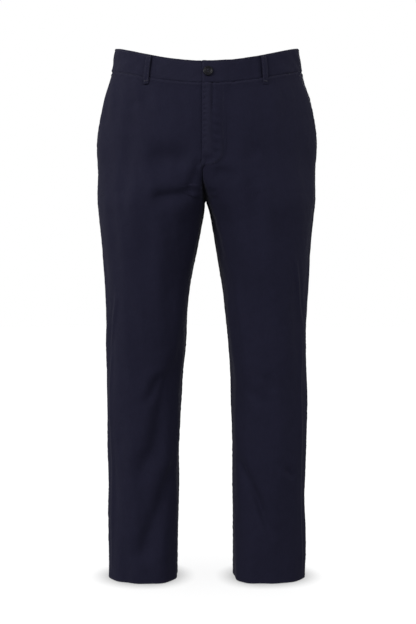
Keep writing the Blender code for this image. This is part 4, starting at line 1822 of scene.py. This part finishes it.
def settled_mesh(source: Thing, name: str) -> "bpy.types.Mesh":
    """The mesh that an object's modifiers make; the object itself is taken away.

    Args:
        source: the object with the modifiers.
        name: the mesh's name.

    Returns:
        The mesh.
    """
    evaluated = source.evaluated_get(bpy.context.evaluated_depsgraph_get())
    mesh = bpy.data.meshes.new_from_object(evaluated)
    mesh.name = name
    bpy.data.objects.remove(source, do_unlink=True)
    return mesh


def put_in_order(mesh: "bpy.types.Mesh") -> None:
    """Puts a mesh's points and faces in one fixed order, where a boolean's order changes from run to run.

    Args:
        mesh: the mesh.
    """
    places = [tuple(vertex.co) for vertex in mesh.vertices]
    order = sorted(range(len(places)), key=places.__getitem__)
    rank = {old: new for new, old in enumerate(order)}
    faces = []
    for polygon in mesh.polygons:
        corners = [rank[corner] for corner in polygon.vertices]
        first = corners.index(min(corners))
        faces.append(corners[first:] + corners[:first])
    mesh.clear_geometry()
    mesh.from_pydata([places[old] for old in order], [], sorted(faces))


def mesh_object(name: str, vertices: Array, faces: Sequence, finish: Finish) -> Thing:
    """An object with a plain mesh, its faces turned outwards.

    Args:
        name: the object's name.
        vertices: its points.
        faces: the points of each face.
        finish: its material.

    Returns:
        The object.
    """
    mesh = bpy.data.meshes.new(name)
    mesh.from_pydata([tuple(v) for v in vertices], [], [tuple(f) for f in faces])
    build = bmesh.new()
    build.from_mesh(mesh)
    bmesh.ops.recalc_face_normals(build, faces=build.faces)
    build.to_mesh(mesh)
    build.free()
    mesh.shade_smooth()
    mesh.set_sharp_from_angle(angle=math.radians(THREAD_CRISP))
    mesh.materials.append(finish)
    return add_object(name, mesh)


@dataclass
class WaistButton:
    """The four-hole button on the overlap of the waistband, with the thread that sews it on.

    Its profile runs from the middle of its face round its rim to the middle of its back, as radius and
    height. Each bar of thread is a few strands, so many thread radii apart, that dive into the holes.
    """

    form: Form
    across: float = 0.0022
    height: float = -0.0728
    standoff: float = 0.0006
    band_face: float = 0.0033
    hole_radius: float = 0.00085
    hole_ring: float = 0.0017
    sides: int = 56
    weld: float = 1e-6
    thread_radius: float = 0.00021
    profile: tuple[Span, ...] = (
        (0.0, 0.0021), (0.0046, 0.0022), (0.0058, 0.0025), (0.0066, 0.0031), (0.0073, 0.0034),
        (0.0081, 0.0034), (0.0088, 0.0030), (0.0092, 0.0023), (0.0092, 0.0014), (0.0087, 0.0006),
        (0.0076, 0.0001), (0.0, 0.0),
    )
    drill_sides: int = 18
    drill_depth: float = 0.02
    strand_sides: int = 8
    strand_gap: float = 1.7
    strand_points: int = 13
    strand_rise: float = 0.00042
    strand_dive: float = 0.0022
    strand_power: int = 7
    strand_middle: float = 0.00006
    shank: tuple[float, ...] = (-0.0006, -0.0002, 0.0002)
    shank_radius: float = 0.0015
    shank_sides: int = 14

    def seat(self) -> Matrix:
        """Where the button lies, with its own Z out of the waistband.

        Returns:
            The button's place and turn.
        """
        spot = np.array([self.across]), np.array([self.height])
        place, normal = (Vector(found[0]) for found in self.form.with_normals(LEFT, FRONT, *spot))
        normal.normalize()
        turn = normal.to_track_quat("Z", "Y").to_matrix().to_4x4()
        return Matrix.Translation(place + normal * (self.band_face + self.standoff)) @ turn

    def _holes(self) -> list[tuple[float, float]]:
        """The holes' places across the button."""
        return [(x * self.hole_ring, y * self.hole_ring) for x in (-1, 1) for y in (-1, 1)]

    def _turned(self) -> bmesh.types.BMesh:
        """The button's body, turned from its profile.

        Returns:
            The body, before its holes are drilled.
        """
        build = bmesh.new()
        line = [build.verts.new((radius, 0.0, height)) for radius, height in self.profile]
        edges = [build.edges.new(pair) for pair in zip(line, line[1:])]
        bmesh.ops.spin(
            build, geom=line + edges, axis=(0, 0, 1), cent=(0, 0, 0), steps=self.sides, angle=2.0 * math.pi
        )
        bmesh.ops.remove_doubles(build, verts=build.verts, dist=self.weld)
        bmesh.ops.recalc_face_normals(build, faces=build.faces)
        return build

    def build_body(self, finish: Finish) -> Thing:
        """Turns the button and drills its holes.

        Args:
            finish: the button's material.

        Returns:
            The finished button.
        """
        drill = bmesh.new()
        for x, y in self._holes():
            bmesh.ops.create_cone(
                drill,
                cap_ends=True,
                segments=self.drill_sides,
                radius1=self.hole_radius,
                radius2=self.hole_radius,
                depth=self.drill_depth,
                matrix=Matrix.Translation((x, y, 0.0)),
            )
        tools = []
        for name, build in (("button_blank", self._turned()), ("button_drill", drill)):
            mesh = bpy.data.meshes.new(name)
            build.to_mesh(mesh)
            build.free()
            tools.append(add_object(name, mesh))
        blank, drill_object = tools
        cut = blank.modifiers.new("holes", "BOOLEAN")
        cut.operation = "DIFFERENCE"
        cut.solver = "EXACT"
        cut.object = drill_object
        body_mesh = settled_mesh(blank, "coat_button")
        put_in_order(body_mesh)
        bpy.data.objects.remove(drill_object, do_unlink=True)
        body_mesh.transform(self.seat())
        body_mesh.shade_smooth()
        body_mesh.set_sharp_from_angle(angle=math.radians(BUTTON_CRISP))
        body_mesh.materials.clear()
        body_mesh.materials.append(finish)
        made = add_object("coat_button", body_mesh)
        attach(made, BODY)
        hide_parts("waist_button")
        LOG.info("coat_button: %d faces", len(body_mesh.polygons))
        return made

    def build_thread(self, finish: Finish) -> Thing:
        """Two bars of thread between the holes, and the short shank under the button.

        Args:
            finish: the thread's material.

        Returns:
            The finished thread.
        """
        vertices, faces = [], []
        seat = np.array(self.seat())

        def lay(line: Array, radius: float, sides: int) -> None:
            """Adds a tube along a line in the button's own place.

            Args:
                line: the tube's middle line.
                radius: its radius.
                sides: how many sides it has.
            """
            points = np.column_stack([line, np.ones(len(line))]) @ seat.T
            new_vertices, new_faces = tube(points[:, :3], radius, sides)
            faces.extend(tuple(i + len(vertices) for i in face) for face in new_faces)
            vertices.extend(new_vertices)

        t = np.linspace(-1.0, 1.0, self.strand_points)
        dive = self.strand_dive * np.abs(t) ** self.strand_power
        for row in (-1, 1):
            for strand in (-1, 0, 1):
                y = row * self.hole_ring + strand * self.strand_gap * self.thread_radius
                top = self.profile[0][1] + self.strand_rise - dive + self.strand_middle * (1 - abs(strand))
                strand_line = np.column_stack([self.hole_ring * t, np.full_like(t, y), top])
                lay(strand_line, self.thread_radius, self.strand_sides)
        lay(np.array([(0.0, 0.0, z) for z in self.shank]), self.shank_radius, self.shank_sides)
        made = mesh_object("button_thread", np.array(vertices), faces, finish)
        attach(made, BODY)
        LOG.info("button_thread: %d faces", len(made.data.polygons))
        return made


@dataclass(frozen=True)
class StitchSize:
    """The sizes of a row of stitches."""

    pitch: float = 0.0028
    length: float = 0.0021
    radius: float = 0.00019


@dataclass
class StitchRows:
    """Rows of stitches of one size, laid along lines on the cloth."""

    name: str
    size: StitchSize = field(default_factory=StitchSize)
    rows: list[tuple[Array, Array]] = field(default_factory=list)

    def run(self, line: Array) -> None:
        """Adds a row whose stitches lie along its line."""
        self.rows.append((line, np.gradient(line, axis=0)))

    def tack(self, line: Array, lie: Sequence[float]) -> None:
        """Adds a bar tack: stitches side by side along a line, which all lie in one direction."""
        self.rows.append((line, np.repeat(np.asarray(lie, float)[None], len(line), axis=0)))

    def _seed(self) -> Thing:
        """The lines as edges, with the direction that each stitch lies in at every point.

        Returns:
            An object of edges, for the stitch tree to read.
        """
        vertices = np.concatenate([line for line, _ in self.rows])
        lies = np.concatenate([lie for _, lie in self.rows])
        edges, start = [], 0
        for line, _ in self.rows:
            edges += [(start + k, start + k + 1) for k in range(len(line) - 1)]
            start += len(line)
        mesh = bpy.data.meshes.new(self.name)
        mesh.from_pydata([tuple(v) for v in vertices], edges, [])
        lie = mesh.attributes.new("lie", "FLOAT_VECTOR", "POINT")
        lie.data.foreach_set("vector", lies.ravel().astype(np.float32))
        return add_object(self.name + "_lines", mesh)

    def build(self, tree: "bpy.types.GeometryNodeTree", finish: Finish) -> Thing:
        """Sews the rows.

        Args:
            tree: the stitch tree.
            finish: the thread's material.

        Returns:
            The stitches as one plain mesh.
        """
        seed = self._seed()
        sew = seed.modifiers.new("stitches", "NODES")
        sew.node_group = tree
        values = {
            "Pitch": self.size.pitch,
            "Stitch length": self.size.length,
            "Thread radius": self.size.radius,
            "Thread": finish,
        }
        for item in tree.interface.items_tree:
            if item.name in values and item.in_out == "INPUT":
                sew[item.identifier] = values[item.name]
        made = add_object(self.name, settled_mesh(seed, self.name))
        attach(made, BODY)
        LOG.info("%s: %d rows, %d faces", self.name, len(self.rows), len(made.data.polygons))
        return made


# The round bead that is stretched into each stitch
BEAD = {"Segments": 6, "Rings": 4, "Radius": 1.0}


def stitch_tree() -> "bpy.types.GeometryNodeTree":
    """The tree that lays a stitch at each step along a line.

    Returns:
        A tree with inputs for the pitch, the stitch's length, the thread's radius and the thread's material.
    """
    tree = bpy.data.node_groups.new("stitches", "GeometryNodeTree")
    inputs = {"Geometry": "Geometry", "Pitch": "Float", "Stitch length": "Float", "Thread radius": "Float"}
    for name, kind in {**inputs, "Thread": "Material"}.items():
        tree.interface.new_socket(name, in_out="INPUT", socket_type=f"NodeSocket{kind}")
    tree.interface.new_socket("Geometry", in_out="OUTPUT", socket_type="NodeSocketGeometry")
    kinds = {
        "given": "NodeGroupInput",
        "out": "NodeGroupOutput",
        "curve": "GeometryNodeMeshToCurve",
        "steps": "GeometryNodeResampleCurve",
        "lie": "GeometryNodeInputNamedAttribute",
        "turn": "FunctionNodeAlignRotationToVector",
        "half": "ShaderNodeMath",
        "scale": "ShaderNodeCombineXYZ",
        "bead": "GeometryNodeMeshUVSphere",
        "lay": "GeometryNodeInstanceOnPoints",
        "real": "GeometryNodeRealizeInstances",
        "smooth": "GeometryNodeSetShadeSmooth",
        "dress": "GeometryNodeSetMaterial",
    }
    n = {name: tree.nodes.new(kind) for name, kind in kinds.items()}
    n["steps"].mode = "LENGTH"
    n["lie"].data_type = "FLOAT_VECTOR"
    n["lie"].inputs["Name"].default_value = "lie"
    n["turn"].axis = "Z"
    n["half"].operation = "MULTIPLY"
    n["half"].inputs[1].default_value = 0.5
    for name, value in BEAD.items():
        n["bead"].inputs[name].default_value = value
    links = (
        ("given", "Geometry", "curve", "Mesh"),
        ("curve", "Curve", "steps", "Curve"),
        ("given", "Pitch", "steps", "Length"),
        ("lie", "Attribute", "turn", "Vector"),
        ("given", "Stitch length", "half", 0),
        ("given", "Thread radius", "scale", "X"),
        ("given", "Thread radius", "scale", "Y"),
        ("half", 0, "scale", "Z"),
        ("steps", "Curve", "lay", "Points"),
        ("bead", "Mesh", "lay", "Instance"),
        ("turn", "Rotation", "lay", "Rotation"),
        ("scale", "Vector", "lay", "Scale"),
        ("lay", "Instances", "real", "Geometry"),
        ("real", "Geometry", "smooth", "Geometry"),
        ("smooth", "Geometry", "dress", "Geometry"),
        ("given", "Thread", "dress", "Material"),
        ("dress", "Geometry", "out", "Geometry"),
    )
    for source, output, target, socket in links:
        tree.links.new(n[source].outputs[output], n[target].inputs[socket])
    return tree


class Nodes:
    """A new material's node tree, with short ways to add to it. Most of a noise lies in its middle."""

    noise_middle = (0.3, 0.7)

    def __init__(self, name: str) -> None:
        """Starts a material with one Principled shader and the object's own coordinates.

        Args:
            name: the material's name.
        """
        self.material = bpy.data.materials.new(name)
        self.material.use_nodes = True
        self.tree = self.material.node_tree
        self.shader = self.tree.nodes["Principled BSDF"]
        self.place = self.add("ShaderNodeTexCoord").outputs["Object"]

    def add(self, kind: str, values: dict | None = None, **settings: object) -> "bpy.types.Node":
        """Adds a node.

        Args:
            kind: the node's type.
            values: values or linked sockets for its inputs, by name or place.
            **settings: the node's own settings.

        Returns:
            The node.
        """
        made = self.tree.nodes.new(kind)
        for name, value in settings.items():
            setattr(made, name, value)
        for name, value in (values or {}).items():
            self.put(made.inputs[name], value)
        return made

    def put(self, socket: Socket, value: object) -> None:
        """Links a socket to an output, or sets its value.

        Args:
            socket: the input.
            value: the output or the value.
        """
        if isinstance(value, bpy.types.NodeSocket):
            self.tree.links.new(value, socket)
        else:
            socket.default_value = value

    def finish(self, values: dict[str, object]) -> Finish:
        """Sets or links the shader's inputs and hands over the material.

        Args:
            values: values or linked sockets for the shader's inputs, by name.

        Returns:
            The material.
        """
        for name, value in values.items():
            self.put(self.shader.inputs[name], value)
        return self.material

    def noise(self, place: object, size: float, detail: float = 2.0) -> Socket:
        """Soft noise whose spots are about one size across."""
        values = {"Vector": place, "Scale": 1.0 / size, "Detail": detail}
        return self.add("ShaderNodeTexNoise", values).outputs["Fac"]

    def between(self, factor: object, low: float, high: float) -> Socket:
        """A value that runs from low to high as the factor runs over the middle of a noise.

        Args:
            factor: the noise.
            low: the value at the foot of that middle.
            high: the value at its head.

        Returns:
            The value.
        """
        start, end = self.noise_middle
        values = {"Value": factor, "From Min": start, "From Max": end, "To Min": low, "To Max": high}
        return self.add("ShaderNodeMapRange", values).outputs["Result"]

    def mix(self, factor: object, one: object, two: object) -> Socket:
        """A mix of two colours.

        Args:
            factor: how much of the second colour is in it.
            one: the first colour.
            two: the second colour.

        Returns:
            The mixed colour.
        """
        made = self.add("ShaderNodeMix", data_type="RGBA")
        for socket, value in ((made.inputs[0], factor), (made.inputs[6], one), (made.inputs[7], two)):
            self.put(socket, value)
        return made.outputs[2]

    def bump(self, height: object, distance: float, under: object = None) -> Socket:
        """A bump of a height, over another bump where one is given.

        Args:
            height: the height.
            distance: how deep a height of 1 is.
            under: the bump below it.

        Returns:
            The bumped normal.
        """
        made = self.add("ShaderNodeBump", {"Height": height, "Distance": distance, "Strength": 1.0})
        if under is not None:
            self.put(made.inputs["Normal"], under)
        return made.outputs["Normal"]

    def times(self, one: object, two: object) -> Socket:
        """The product of two values."""
        return self.add("ShaderNodeMath", {0: one, 1: two}, operation="MULTIPLY").outputs[0]

    def waves(self, place: object, pitch: float, values: dict, **settings: object) -> Socket:
        """Bands a pitch apart.

        Args:
            place: where the bands are read.
            pitch: how far apart they lie.
            values: values for the texture's other inputs, by name.
            **settings: the texture's own settings.

        Returns:
            The bands, from 0 to 1.
        """
        made = self.add("ShaderNodeTexWave", {"Vector": place, "Scale": math.pi / (10.0 * pitch)}, **settings)
        for name, value in values.items():
            self.put(made.inputs[name], value)
        return made.outputs["Fac"]


def rgba(colour: Sequence[float], shade: float = 1.0) -> tuple[float, float, float, float]:
    """A colour with a full alpha, made lighter or darker by a factor."""
    return (*(channel * shade for channel in colour), 1.0)


@dataclass(frozen=True)
class TwillFinish:
    """Navy cotton twill: fine slanting ribs, uneven yarn, soft sheen, and paler at its edges and seams,
    partly from abrasion and partly painted highlight.

    A name with size gives how wide the spots of a noise are, one with share how much they show, one with
    shade how light they are beside the colour, and one with height how far they stand up as a bump.
    """

    name: str = "navy_twill"
    colour: Triple = (0.0086, 0.0084, 0.0182)
    worn_and_lit: Triple = (0.0150, 0.0147, 0.0270)
    rib_pitch: float = 0.0007
    rib_height: float = 0.00006
    rib_turn: float = -58.0
    rib_share: float = 0.16
    rib_shade: float = 1.5
    rib_waver: float = 0.4
    yarn_stretch: float = 0.12
    slub_size: float = 0.0011
    slub_height: float = 0.00008
    speck_size: float = 0.0022
    speck_share: float = 0.45
    speck_shade: float = 0.78
    speck_height: float = 0.00018
    fade_size: float = 0.085
    fade_shades: Span = (0.93, 1.07)
    bloom_size: float = 0.016
    bloom_share: float = 0.5
    bloom_shade: float = 1.16
    bloom_height: float = 0.00035
    worn_and_lit_share: Span = (0.25, 0.80)
    roughness: Span = (0.78, 0.92)
    specular: float = 0.05
    sheen: float = 0.06
    sheen_roughness: float = 0.35
    sheen_tint: Triple = (0.85, 0.85, 1.0)

    def material(self) -> Finish:
        """Builds the material.

        Returns:
            The material.
        """
        n = Nodes(self.name)
        flat = n.add("ShaderNodeUVMap", uv_map="cloth").outputs["UV"]
        turn, stretch = (0.0, 0.0, math.radians(self.rib_turn)), (1.0, self.yarn_stretch, 1.0)
        turned = n.add("ShaderNodeMapping", {"Vector": flat, "Rotation": turn}).outputs["Vector"]
        waver = {"Distortion": self.rib_waver, "Detail": 1.0, "Detail Scale": 3.0}
        rib = n.waves(turned, self.rib_pitch, waver)
        yarn = n.add("ShaderNodeMapping", {"Vector": flat, "Scale": stretch}).outputs["Vector"]
        slub = n.noise(yarn, self.slub_size, 3.0)
        speck, bloom = n.noise(n.place, self.speck_size, 3.0), n.noise(n.place, self.bloom_size, 3.0)
        fade = n.between(n.noise(n.place, self.fade_size), 0.0, 1.0)
        tone = n.mix(fade, *(rgba(self.colour, shade) for shade in self.fade_shades))
        for share, shade in (
            (n.between(bloom, 0.0, self.bloom_share), self.bloom_shade),
            (n.between(speck, 0.0, self.speck_share), self.speck_shade),
            (n.times(rib, self.rib_share), self.rib_shade),
        ):
            tone = n.mix(share, tone, rgba(self.colour, shade))
        # The paler colour mixed in here is partly abrasion at the edges and partly painted highlight on seam
        # ridges, laps, loops and the fly.
        wear_and_highlight = n.add("ShaderNodeAttribute", attribute_name="wear_and_highlight").outputs["Fac"]
        rubbed_and_lit = n.times(wear_and_highlight, n.between(slub, *self.worn_and_lit_share))
        normal = n.bump(rib, self.rib_height)
        heights = ((slub, self.slub_height), (speck, self.speck_height), (bloom, self.bloom_height))
        for height, distance in heights:
            normal = n.bump(height, distance, normal)
        return n.finish(
            {
                "Base Color": n.mix(rubbed_and_lit, tone, rgba(self.worn_and_lit)),
                "Roughness": n.between(speck, *self.roughness),
                "Normal": normal,
                "Specular IOR Level": self.specular,
                "Sheen Weight": self.sheen,
                "Sheen Roughness": self.sheen_roughness,
                "Sheen Tint": rgba(self.sheen_tint),
            }
        )


@dataclass(frozen=True)
class ThreadFinish:
    """Navy sewing thread, twisted and a little shinier than the cloth."""

    name: str = "navy_thread"
    colour: Triple = (0.0190, 0.0185, 0.0310)
    twist_pitch: float = 0.0005
    twist_shades: Span = (0.7, 1.2)
    twist_height: float = 0.00005
    fibre_size: float = 0.0006
    fibre_share: float = 0.4
    fibre_shade: float = 1.5
    roughness: Span = (0.50, 0.70)
    specular: float = 0.25

    def material(self) -> Finish:
        """Builds the material.

        Returns:
            The material.
        """
        n = Nodes(self.name)
        twist = n.waves(n.place, self.twist_pitch, {"Distortion": 1.0}, bands_direction="DIAGONAL")
        fibre = n.noise(n.place, self.fibre_size)
        tone = n.mix(twist, *(rgba(self.colour, shade) for shade in self.twist_shades))
        shine = n.between(fibre, 0.0, self.fibre_share)
        return n.finish(
            {
                "Base Color": n.mix(shine, tone, rgba(self.colour, self.fibre_shade)),
                "Roughness": n.between(fibre, *self.roughness),
                "Normal": n.bump(twist, self.twist_height),
                "Specular IOR Level": self.specular,
            }
        )


@dataclass(frozen=True)
class ButtonFinish:
    """Dark polished resin, faintly clouded, with fine scuffs."""

    name: str = "dark_resin"
    colour: Triple = (0.0046, 0.0046, 0.0064)
    cloud: Triple = (0.0090, 0.0088, 0.0115)
    cloud_size: float = 0.0045
    scuff_size: float = 0.0007
    scuff_height: float = 0.00001
    roughness: Span = (0.34, 0.48)
    specular: float = 0.10

    def material(self) -> Finish:
        """Builds the material.

        Returns:
            The material.
        """
        n = Nodes(self.name)
        cloud, scuff = n.noise(n.place, self.cloud_size, 3.0), n.noise(n.place, self.scuff_size, 3.0)
        return n.finish(
            {
                "Base Color": n.mix(n.between(cloud, 0.0, 1.0), rgba(self.colour), rgba(self.cloud)),
                "Roughness": n.between(scuff, *self.roughness),
                "Normal": n.bump(scuff, self.scuff_height),
                "Specular IOR Level": self.specular,
            }
        )


@dataclass(frozen=True)
class FloorFinish:
    """A matt pale floor with a painted contact shadow: its colour darkens right beside what stands on it."""

    name: str = "pale_floor"
    colour: Triple = (0.93, 0.93, 0.93)
    grain_size: float = 0.4
    grain_shade: float = 0.99
    painted_shadow: Triple = (0.19, 0.19, 0.19)
    painted_shadow_reach: float = 0.039
    roughness: Span = (0.9, 1.0)

    def material(self) -> Finish:
        """Builds the material.

        Returns:
            The material.
        """
        n = Nodes(self.name)
        grain = n.noise(n.place, self.grain_size)
        pale = n.mix(n.between(grain, 0.0, 1.0), rgba(self.colour, self.grain_shade), rgba(self.colour))
        # Painted contact shadow: the colour darkens where ambient occlusion finds cloth close by.
        clear = n.add("ShaderNodeAmbientOcclusion", {"Distance": self.painted_shadow_reach}).outputs["AO"]
        return n.finish(
            {
                "Base Color": n.mix(clear, rgba(self.painted_shadow), pale),
                "Roughness": n.between(grain, *self.roughness),
                "Specular IOR Level": 0.0,
            }
        )


@dataclass(frozen=True)
class Sewing:
    """All the visible stitches: at the fly, the pockets, the waistband, the loops and the hems.

    The starts of the waistband's rows are the right front's and the others', and a tack's downs are
    distances below the waistband's top. The points are those along one line, and the fly's are down to its
    bend and round it.
    """

    panels: dict[tuple[Side, Half], LegPanel]
    bands: Sequence[WaistbandHalf]
    loops: Sequence[BeltLoop]
    fly_top: float = -0.099
    pocket_ends: Span = (-0.055, -0.200)
    band_starts: Span = (0.004, 0.003)
    loop_size: StitchSize = StitchSize(0.0026, 0.0019, 0.00017)
    tack_size: StitchSize = StitchSize(0.0006, 0.0022, 0.00020)
    tack_downs: Span = (0.0060, 0.0525)
    tack_heights: Span = (-0.062, -0.196)
    tack_reach: Span = (0.0008, 0.0078)
    hem_size: StitchSize = StitchSize(0.0070, 0.0010, 0.00012)
    hem_depth: float = 0.036
    hem_margin: float = 0.004
    tack_above: float = 0.00015
    hem_above: float = 0.00002
    fly_points: tuple[int, int] = (30, 13)
    pocket_points: int = 40
    band_points: int = 90
    tack_points: int = 8
    hem_points: int = 40

    def fly(self) -> StitchRows:
        """The curved row that holds the fly's lap.

        Returns:
            The row.
        """
        rows = StitchRows("fly_stitches")
        front = self.panels[LEFT, FRONT]
        fly = front.fly
        straight, bent = self.fly_points
        down = np.linspace(self.fly_top, fly.bend, straight)
        bend = np.linspace(0.0, math.pi / 2, bent + 1)[1:]
        across = [np.full(len(down), fly.stitch), fly.foot + (fly.stitch - fly.foot) * np.cos(bend)]
        z = np.concatenate([down, fly.bend - fly.drop * np.sin(bend)])
        rows.run(front.place(np.concatenate(across), z, THREAD_ABOVE))
        return rows

    def pockets(self) -> StitchRows:
        """A row beside each pocket mouth.

        Returns:
            The rows.
        """
        rows = StitchRows("pocket_stitches")
        for side in Side:
            front = self.panels[side, FRONT]
            z = np.linspace(*self.pocket_ends, self.pocket_points)
            rows.run(front.place(front.outer_edge(z) - front.mouth_stitches.middle, z, THREAD_ABOVE))
        return rows

    def waistband(self) -> StitchRows:
        """A row under the waistband's top edge, all round.

        Returns:
            The rows.
        """
        rows = StitchRows("waistband_stitches")
        front, back = self.band_starts
        for band in self.bands:
            start = back - band.lap if band.side is LEFT else front
            for half, first in ((FRONT, start), (BACK, back)):
                length = float(band.form.half_length(band.side, half, np.array([0.0]))[0])
                rows.run(band.along(half, band.top_stitch, first, length, self.band_points))
        return rows

    def belt_loops(self) -> StitchRows:
        """Two rows down each belt loop.

        Returns:
            The rows.
        """
        rows = StitchRows("loop_stitches", self.loop_size)
        for loop in self.loops:
            for hand in (-1, 1):
                rows.run(loop.line(hand * (loop.width / 2 - loop.stitch_in)))
        return rows

    def tacks(self) -> StitchRows:
        """Bar tacks at the ends of the loops and of the pocket mouths.

        Returns:
            The tacks, as rows.
        """
        rows, upright = StitchRows("bar_tacks", self.tack_size), (0.0, 0.0, 1.0)
        for loop in self.loops:
            for down in self.tack_downs:
                rows.tack(loop.bar(down), upright)
        for side in Side:
            front = self.panels[side, FRONT]
            for height in self.tack_heights:
                reach = np.linspace(*self.tack_reach, self.tack_points)
                z = np.full(len(reach), height)
                rows.tack(front.place(front.outer_edge(z) - reach, z, self.tack_above), upright)
        return rows

    def hems(self) -> StitchRows:
        """The small pricks of the blind hems.

        Returns:
            The rows.
        """
        rows = StitchRows("hem_stitches", self.hem_size)
        for panel in self.panels.values():
            z = np.full(self.hem_points, panel.hem_z + self.hem_depth)
            last = float(panel.outer_edge(z[:1])[0]) - self.hem_margin
            rows.run(panel.place(np.linspace(self.hem_margin, last, len(z)), z, self.hem_above))
        return rows


@dataclass(frozen=True)
class Lamp:
    """A soft square light: its name, where it stands in degrees, its distance, size and power.

    The way round is 0 in front and grows to the wearer's left, and the height is 0 level with the aim.
    """

    name: str
    way_round: float
    height: float
    distance: float
    size: float
    power: float
    aim: Triple = (0.0, 0.0, -0.5)

    def place(self) -> Vector:
        """The point the light hangs at.

        Returns:
            The point.
        """
        round_, up = math.radians(self.way_round), math.radians(self.height)
        away = Vector((math.sin(round_) * math.cos(up), -math.cos(round_) * math.cos(up), math.sin(up)))
        return Vector(self.aim) + away * self.distance

    def build(self) -> Thing:
        """Hangs the light.

        Returns:
            The light.
        """
        data = bpy.data.lights.new(self.name, "AREA")
        data.shape = "SQUARE"
        data.size = self.size
        data.energy = self.power
        made = add_object(self.name, data)
        made.location = self.place()
        made.rotation_euler = (Vector(self.aim) - made.location).to_track_quat("-Z", "Y").to_euler()
        return made


@dataclass
class Studio:
    """The floor, the lights and the camera."""

    floor_z: float = -1.0500
    floor_size: float = 60.0
    surround: float = 0.26
    eye: Triple = (0.0021, -1.9, -0.524)
    lens: float = 54.8
    sensor: float = 36.0
    nearest: float = 0.05
    lamps: tuple[Lamp, ...] = (
        Lamp("left_wing", -100.0, 20.0, 3.0, 1.2, 38.0),
        Lamp("left_key", -56.0, 18.0, 6.0, 2.4, 225.0),
        Lamp("front_key", -33.0, 32.0, 6.0, 2.4, 145.0),
        Lamp("right_fill", 35.0, 20.0, 6.0, 2.4, 166.0),
        Lamp("right_wing", 75.0, 20.0, 6.0, 2.4, 50.0),
        Lamp("right_rim", 100.0, 20.0, 3.0, 1.2, 18.0),
        Lamp("rear_fill", 170.0, 35.0, 3.0, 1.6, 60.0),
    )
    overhead: float = 2.85
    overhead_spread: float = 60.0

    def build_floor(self, finish: Finish) -> None:
        """Lays the floor under the hems, white by its own light, so it throws none back on the cloth.

        Args:
            finish: the floor's material.
        """
        half = self.floor_size / 2
        corners = [(-half, -half), (half, -half), (half, half), (-half, half)]
        mesh = bpy.data.meshes.new("floor")
        mesh.from_pydata([(x, y, self.floor_z) for x, y in corners], [], [(0, 1, 2, 3)])
        mesh.materials.append(finish)
        floor = add_object("floor", mesh)
        floor.visible_diffuse = floor.visible_glossy = floor.visible_shadow = False
        self.lit_alone.objects.link(floor)
        self.left_out.objects.link(floor)
        self.left_out.collection_objects[0].light_linking.link_state = "EXCLUDE"

    def build_world(self) -> None:
        """Makes the surround: white to look at, and softer as a light."""
        world = bpy.data.worlds.new("studio")
        world.use_nodes = True
        bpy.context.scene.world = world
        nodes, links = world.node_tree.nodes, world.node_tree.links
        nodes.clear()
        seen, light = nodes.new("ShaderNodeBackground"), nodes.new("ShaderNodeBackground")
        seen.inputs["Color"].default_value = light.inputs["Color"].default_value = (1.0, 1.0, 1.0, 1.0)
        seen.inputs["Strength"].default_value = 1.0
        light.inputs["Strength"].default_value = self.surround
        ray, mix, out = (nodes.new(f"ShaderNode{kind}") for kind in ("LightPath", "MixShader", "OutputWorld"))
        links.new(ray.outputs["Is Camera Ray"], mix.inputs[0])
        links.new(light.outputs[0], mix.inputs[1])
        links.new(seen.outputs[0], mix.inputs[2])
        links.new(mix.outputs[0], out.inputs["Surface"])

    def build_overhead(self) -> None:
        """Hangs the wide soft light above, which falls on the floor alone and is even all over it."""
        data = bpy.data.lights.new("overhead", "SUN")
        data.energy = self.overhead
        data.use_shadow = False
        data.angle = math.radians(self.overhead_spread)
        add_object("overhead", data).light_linking.receiver_collection = self.lit_alone

    def build_camera(self) -> None:
        """Stands the camera level in front of the trousers."""
        data = bpy.data.cameras.new("camera")
        data.sensor_fit = "VERTICAL"
        data.sensor_height = self.sensor
        data.lens = self.lens
        data.clip_start = self.nearest
        camera = add_object("camera", data)
        camera.location = self.eye
        camera.rotation_euler = (math.pi / 2, 0.0, 0.0)
        bpy.context.scene.camera = camera

    def build(self) -> None:
        """Builds the whole studio."""
        self.lit_alone = bpy.data.collections.new("floor_light")
        self.left_out = bpy.data.collections.new("other_lights")
        self.build_floor(FloorFinish().material())
        self.build_world()
        self.build_overhead()
        self.build_camera()
        for lamp in self.lamps:
            lamp.build().light_linking.receiver_collection = self.left_out
        bpy.context.scene.view_settings.view_transform = "Standard"


def main() -> None:
    """Builds every piece in order."""
    logging.basicConfig(level=logging.INFO, format="%(name)s: %(message)s")
    form = Form()
    drape = Drape(form, FOLDS, UNEVENNESS)
    twill, thread, resin = (finish.material() for finish in (TwillFinish(), ThreadFinish(), ButtonFinish()))
    panels = {
        (side, half): LegPanel(form, drape, side, half, f"{side.word}_{half.word}_panel")
        for side in Side
        for half in Half
    }
    bands = [WaistbandHalf(form, drape, side, FRONT, f"{side.word}_waistband") for side in Side]
    facings = [PocketFacing(form, drape, side, FRONT, f"{side.word}_pocket_facing") for side in Side]
    shield = FlyShield(form, drape, LEFT, FRONT, "fly_shield")
    loops = [BeltLoop.at(form, drape, spot) for spot in LOOPS]
    for piece in (*panels.values(), *bands, *facings, shield, *loops):
        piece.build(twill)
    button = WaistButton(form)
    button.build_body(resin)
    button.build_thread(thread)
    sewing, tree = Sewing(panels, bands, loops), stitch_tree()
    for make in (sewing.fly, sewing.pockets, sewing.waistband, sewing.belt_loops, sewing.tacks, sewing.hems):
        make().build(tree, thread)
    Studio().build()


if __name__ == "__main__":
    main()
